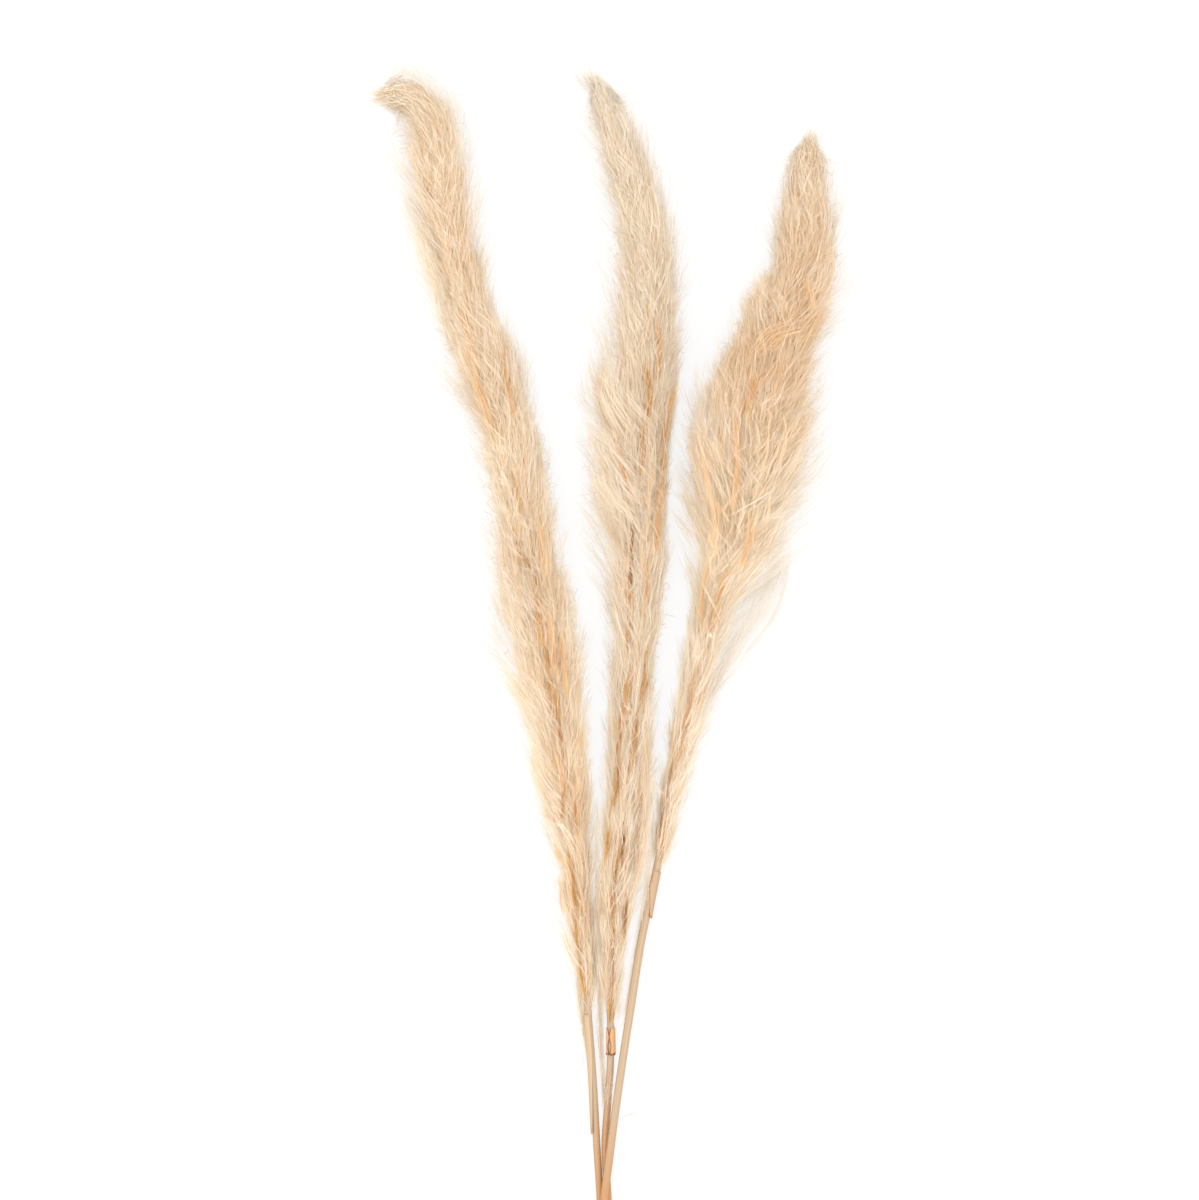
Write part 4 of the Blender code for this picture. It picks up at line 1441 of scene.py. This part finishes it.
class REED_OT_plumes(Operator):
    """Make the three plumes: branches, husks, long strands, fine hairs, curls and a halo"""

    bl_idname = "reed.plumes"
    bl_label = "Plumes"

    def execute(self, context):
        look = context.scene.reed_look
        silk = silk_material(look)
        for seed, side in enumerate(SIDES, start=SEED):
            draw = np.random.default_rng(seed)
            locks = Locks(side, look.lock_count, draw)
            strand = (look.strand_count, look.strand_length, look.strand_radius)
            fuzz = (look.fuzz_count, look.fuzz_length, look.fuzz_radius)
            parts = {
                "silk": make_strands(locks, *strand, draw),
                "fuzz": make_fuzz(locks, *fuzz, draw),
                "branches": make_branches(locks, draw),
                "husks": make_husks(locks, look.husk_count, draw),
                "curls": make_curls(locks, look.curl_count, draw),
                "halo": make_halo(locks, look.halo_count, look.halo_radius, draw),
            }
            for part, hairs in parts.items():
                mesh = hair_mesh(f"plume_{side}_{part}", *hairs, draw)
                add_piece(mesh, silk, PLUME_SLOT[side], f"plume_{side}")
        return {"FINISHED"}


class REED_OT_wisps(Operator):
    """Make the loose wisps that stand out from the plumes"""

    bl_idname = "reed.wisps"
    bl_label = "Wisps"

    def execute(self, context):
        look = context.scene.reed_look
        silk = silk_material(look)
        for seed, (name, wisp) in enumerate(WISPS.items(), start=WISP_SEED):
            side, warmth, grey, count, length, rows = wisp
            draw = np.random.default_rng(seed)
            rows = np.array(rows, float)
            rows[:, :2] = (rows[:, :2] - PHOTO_CENTRE) * (PIXEL, -PIXEL)
            hairs = make_wisp(warmth, grey, count, rows, length, look.fuzz_radius, draw)
            mesh = hair_mesh(f"wisp_{name}", *hairs, draw)
            add_piece(mesh, silk, PLUME_SLOT[side], f"plume_{side}")
        return {"FINISHED"}


class REED_OT_streaks(Operator):
    """Make the orange and brown streaks along the plumes"""

    bl_idname = "reed.streaks"
    bl_label = "Streaks"

    def execute(self, context):
        look = context.scene.reed_look
        silk = silk_material(look)
        for side in SIDES:
            stalk = Stalk(STALKS[side])
            draw = np.random.default_rng(STREAK_SEED)
            streaks = list(chance_streaks(stalk, look.streak_count, draw))
            for warmth, half_width, path in STREAKS[side]:
                points = lay_on(stalk, path)
                widths = np.full(len(points), STREAK_WIDENING * half_width)
                streaks.append((warmth, np.column_stack([points, widths])))
            bundles = []
            for warmth, rows in streaks:
                length = np.linalg.norm(np.diff(rows[:, :3], axis=0), axis=1).sum()
                count = int(STREAK_DENSITY * (length + STREAK_END) * 2 * rows[0, 3]) + 1
                hair = (STREAK_LENGTH, look.strand_radius)
                bundles.append(make_wisp(warmth, 0.0, count, rows, *hair, draw))
            hairs = [np.concatenate(parts) for parts in zip(*bundles)]
            mesh = hair_mesh(f"plume_{side}_streaks", *hairs, draw)
            add_piece(mesh, silk, PLUME_SLOT[side], f"plume_{side}")
        return {"FINISHED"}


class REED_OT_stems(Operator):
    """Make the stems, which run on inside the plumes and thin out to their tips, and their sheaths"""

    bl_idname = "reed.stems"
    bl_label = "Stems"

    def execute(self, context):
        look = context.scene.reed_look
        straw = straw_material(look)
        for side in SIDES:
            stalk = Stalk(STALKS[side])
            places = np.arange(0.0, stalk.tip - STEM_SHORT_OF_TIP, STEM_STEP)
            thinning = STEM_THINNING * np.clip(stalk.up(places), 0, 1) ** STEM_THINNING_POWER
            radii = ((stalk.stem_radius - STEM_UNDERSIZE) * (1 - thinning))[:, None]
            name = f"stem_{side}_straw"
            # The middle stem's lower map start paints shade on its lower part, where the other stems lie
            # over it
            mesh = tube(name, stalk, places, radii, STEM_SIDES, STEM_MAP_START[side])
            add_piece(mesh, straw, "reed_stem", f"stem_{side}")
        leaf = sheath_material(look)
        draw = np.random.default_rng(SHEATH_SEED)
        for name, shape in SHEATHS.items():
            mesh = sheath_sheet(f"{name}_leaf", Stalk(STALKS[shape[0]]), shape, draw)
            add_piece(mesh, leaf, "dry_sheath", name)
        return {"FINISHED"}


class REED_OT_stage(Operator):
    """Set the pale floor, the soft light and the camera that looks straight down"""

    bl_idname = "reed.stage"
    bl_label = "Stage"

    def execute(self, context):
        scene = context.scene
        look = scene.reed_look
        mesh = bpy.data.meshes.new("floor")
        corners = [(x * FLOOR_HALF, y * FLOOR_HALF, 0) for x, y in ((-1, -1), (1, -1), (1, 1), (-1, 1))]
        mesh.from_pydata(corners, [], [(0, 1, 2, 3)])
        mesh.materials.append(paper_material(look))
        floor = bpy.data.objects.new("floor", mesh)
        scene.collection.objects.link(floor)

        world = bpy.data.worlds.new("soft_white_dome")
        world.use_nodes = True
        dome = world.node_tree.nodes["Background"]
        dome.inputs["Color"].default_value = WHITE
        dome.inputs["Strength"].default_value = look.dome_strength
        scene.world = world

        light = bpy.data.lights.new("overhead_softbox", "AREA")
        light.shape = "DISK"
        light.size = LAMP_SIZE
        light.energy = look.key_power
        lamp = bpy.data.objects.new("overhead_softbox", light)
        lamp.location = LAMP_PLACE
        lamp.rotation_euler = (math.radians(LAMP_TILT[0]), math.radians(LAMP_TILT[1]), 0)
        scene.collection.objects.link(lamp)

        shot = bpy.data.cameras.new("camera")
        shot.sensor_width = SENSOR
        height = look.camera_height - PLUME_HEIGHT * MM
        shot.lens = SENSOR * height / (IMAGE_HEIGHT * PIXEL * MM)
        camera = bpy.data.objects.new("camera", shot)
        camera.location = (FRAME_CENTRE[0] * MM, FRAME_CENTRE[1] * MM, look.camera_height)
        scene.collection.objects.link(camera)
        scene.camera = camera
        scene.view_settings.view_transform = "Standard"
        return {"FINISHED"}


class REED_PT_panel(Panel):
    """The steps in the order that they are made in"""

    bl_idname = "REED_PT_panel"
    bl_label = "Dried Reed"
    bl_space_type = "VIEW_3D"
    bl_region_type = "UI"
    bl_category = "Dried Reed"

    def draw(self, context):
        for operator in OPERATORS:
            self.layout.operator(operator.bl_idname)


OPERATORS = (REED_OT_stems, REED_OT_plumes, REED_OT_streaks, REED_OT_wisps, REED_OT_stage)


def register():
    bpy.utils.register_class(ReedLook)
    for operator in OPERATORS:
        bpy.utils.register_class(operator)
    bpy.utils.register_class(REED_PT_panel)
    bpy.types.Scene.reed_look = PointerProperty(type=ReedLook)


def unregister():
    del bpy.types.Scene.reed_look
    bpy.utils.unregister_class(REED_PT_panel)
    for operator in reversed(OPERATORS):
        bpy.utils.unregister_class(operator)
    bpy.utils.unregister_class(ReedLook)


def main():
    register()
    bpy.ops.reed.stems()
    bpy.ops.reed.plumes()
    bpy.ops.reed.streaks()
    bpy.ops.reed.wisps()
    bpy.ops.reed.stage()


if __name__ == "__main__":
    main()
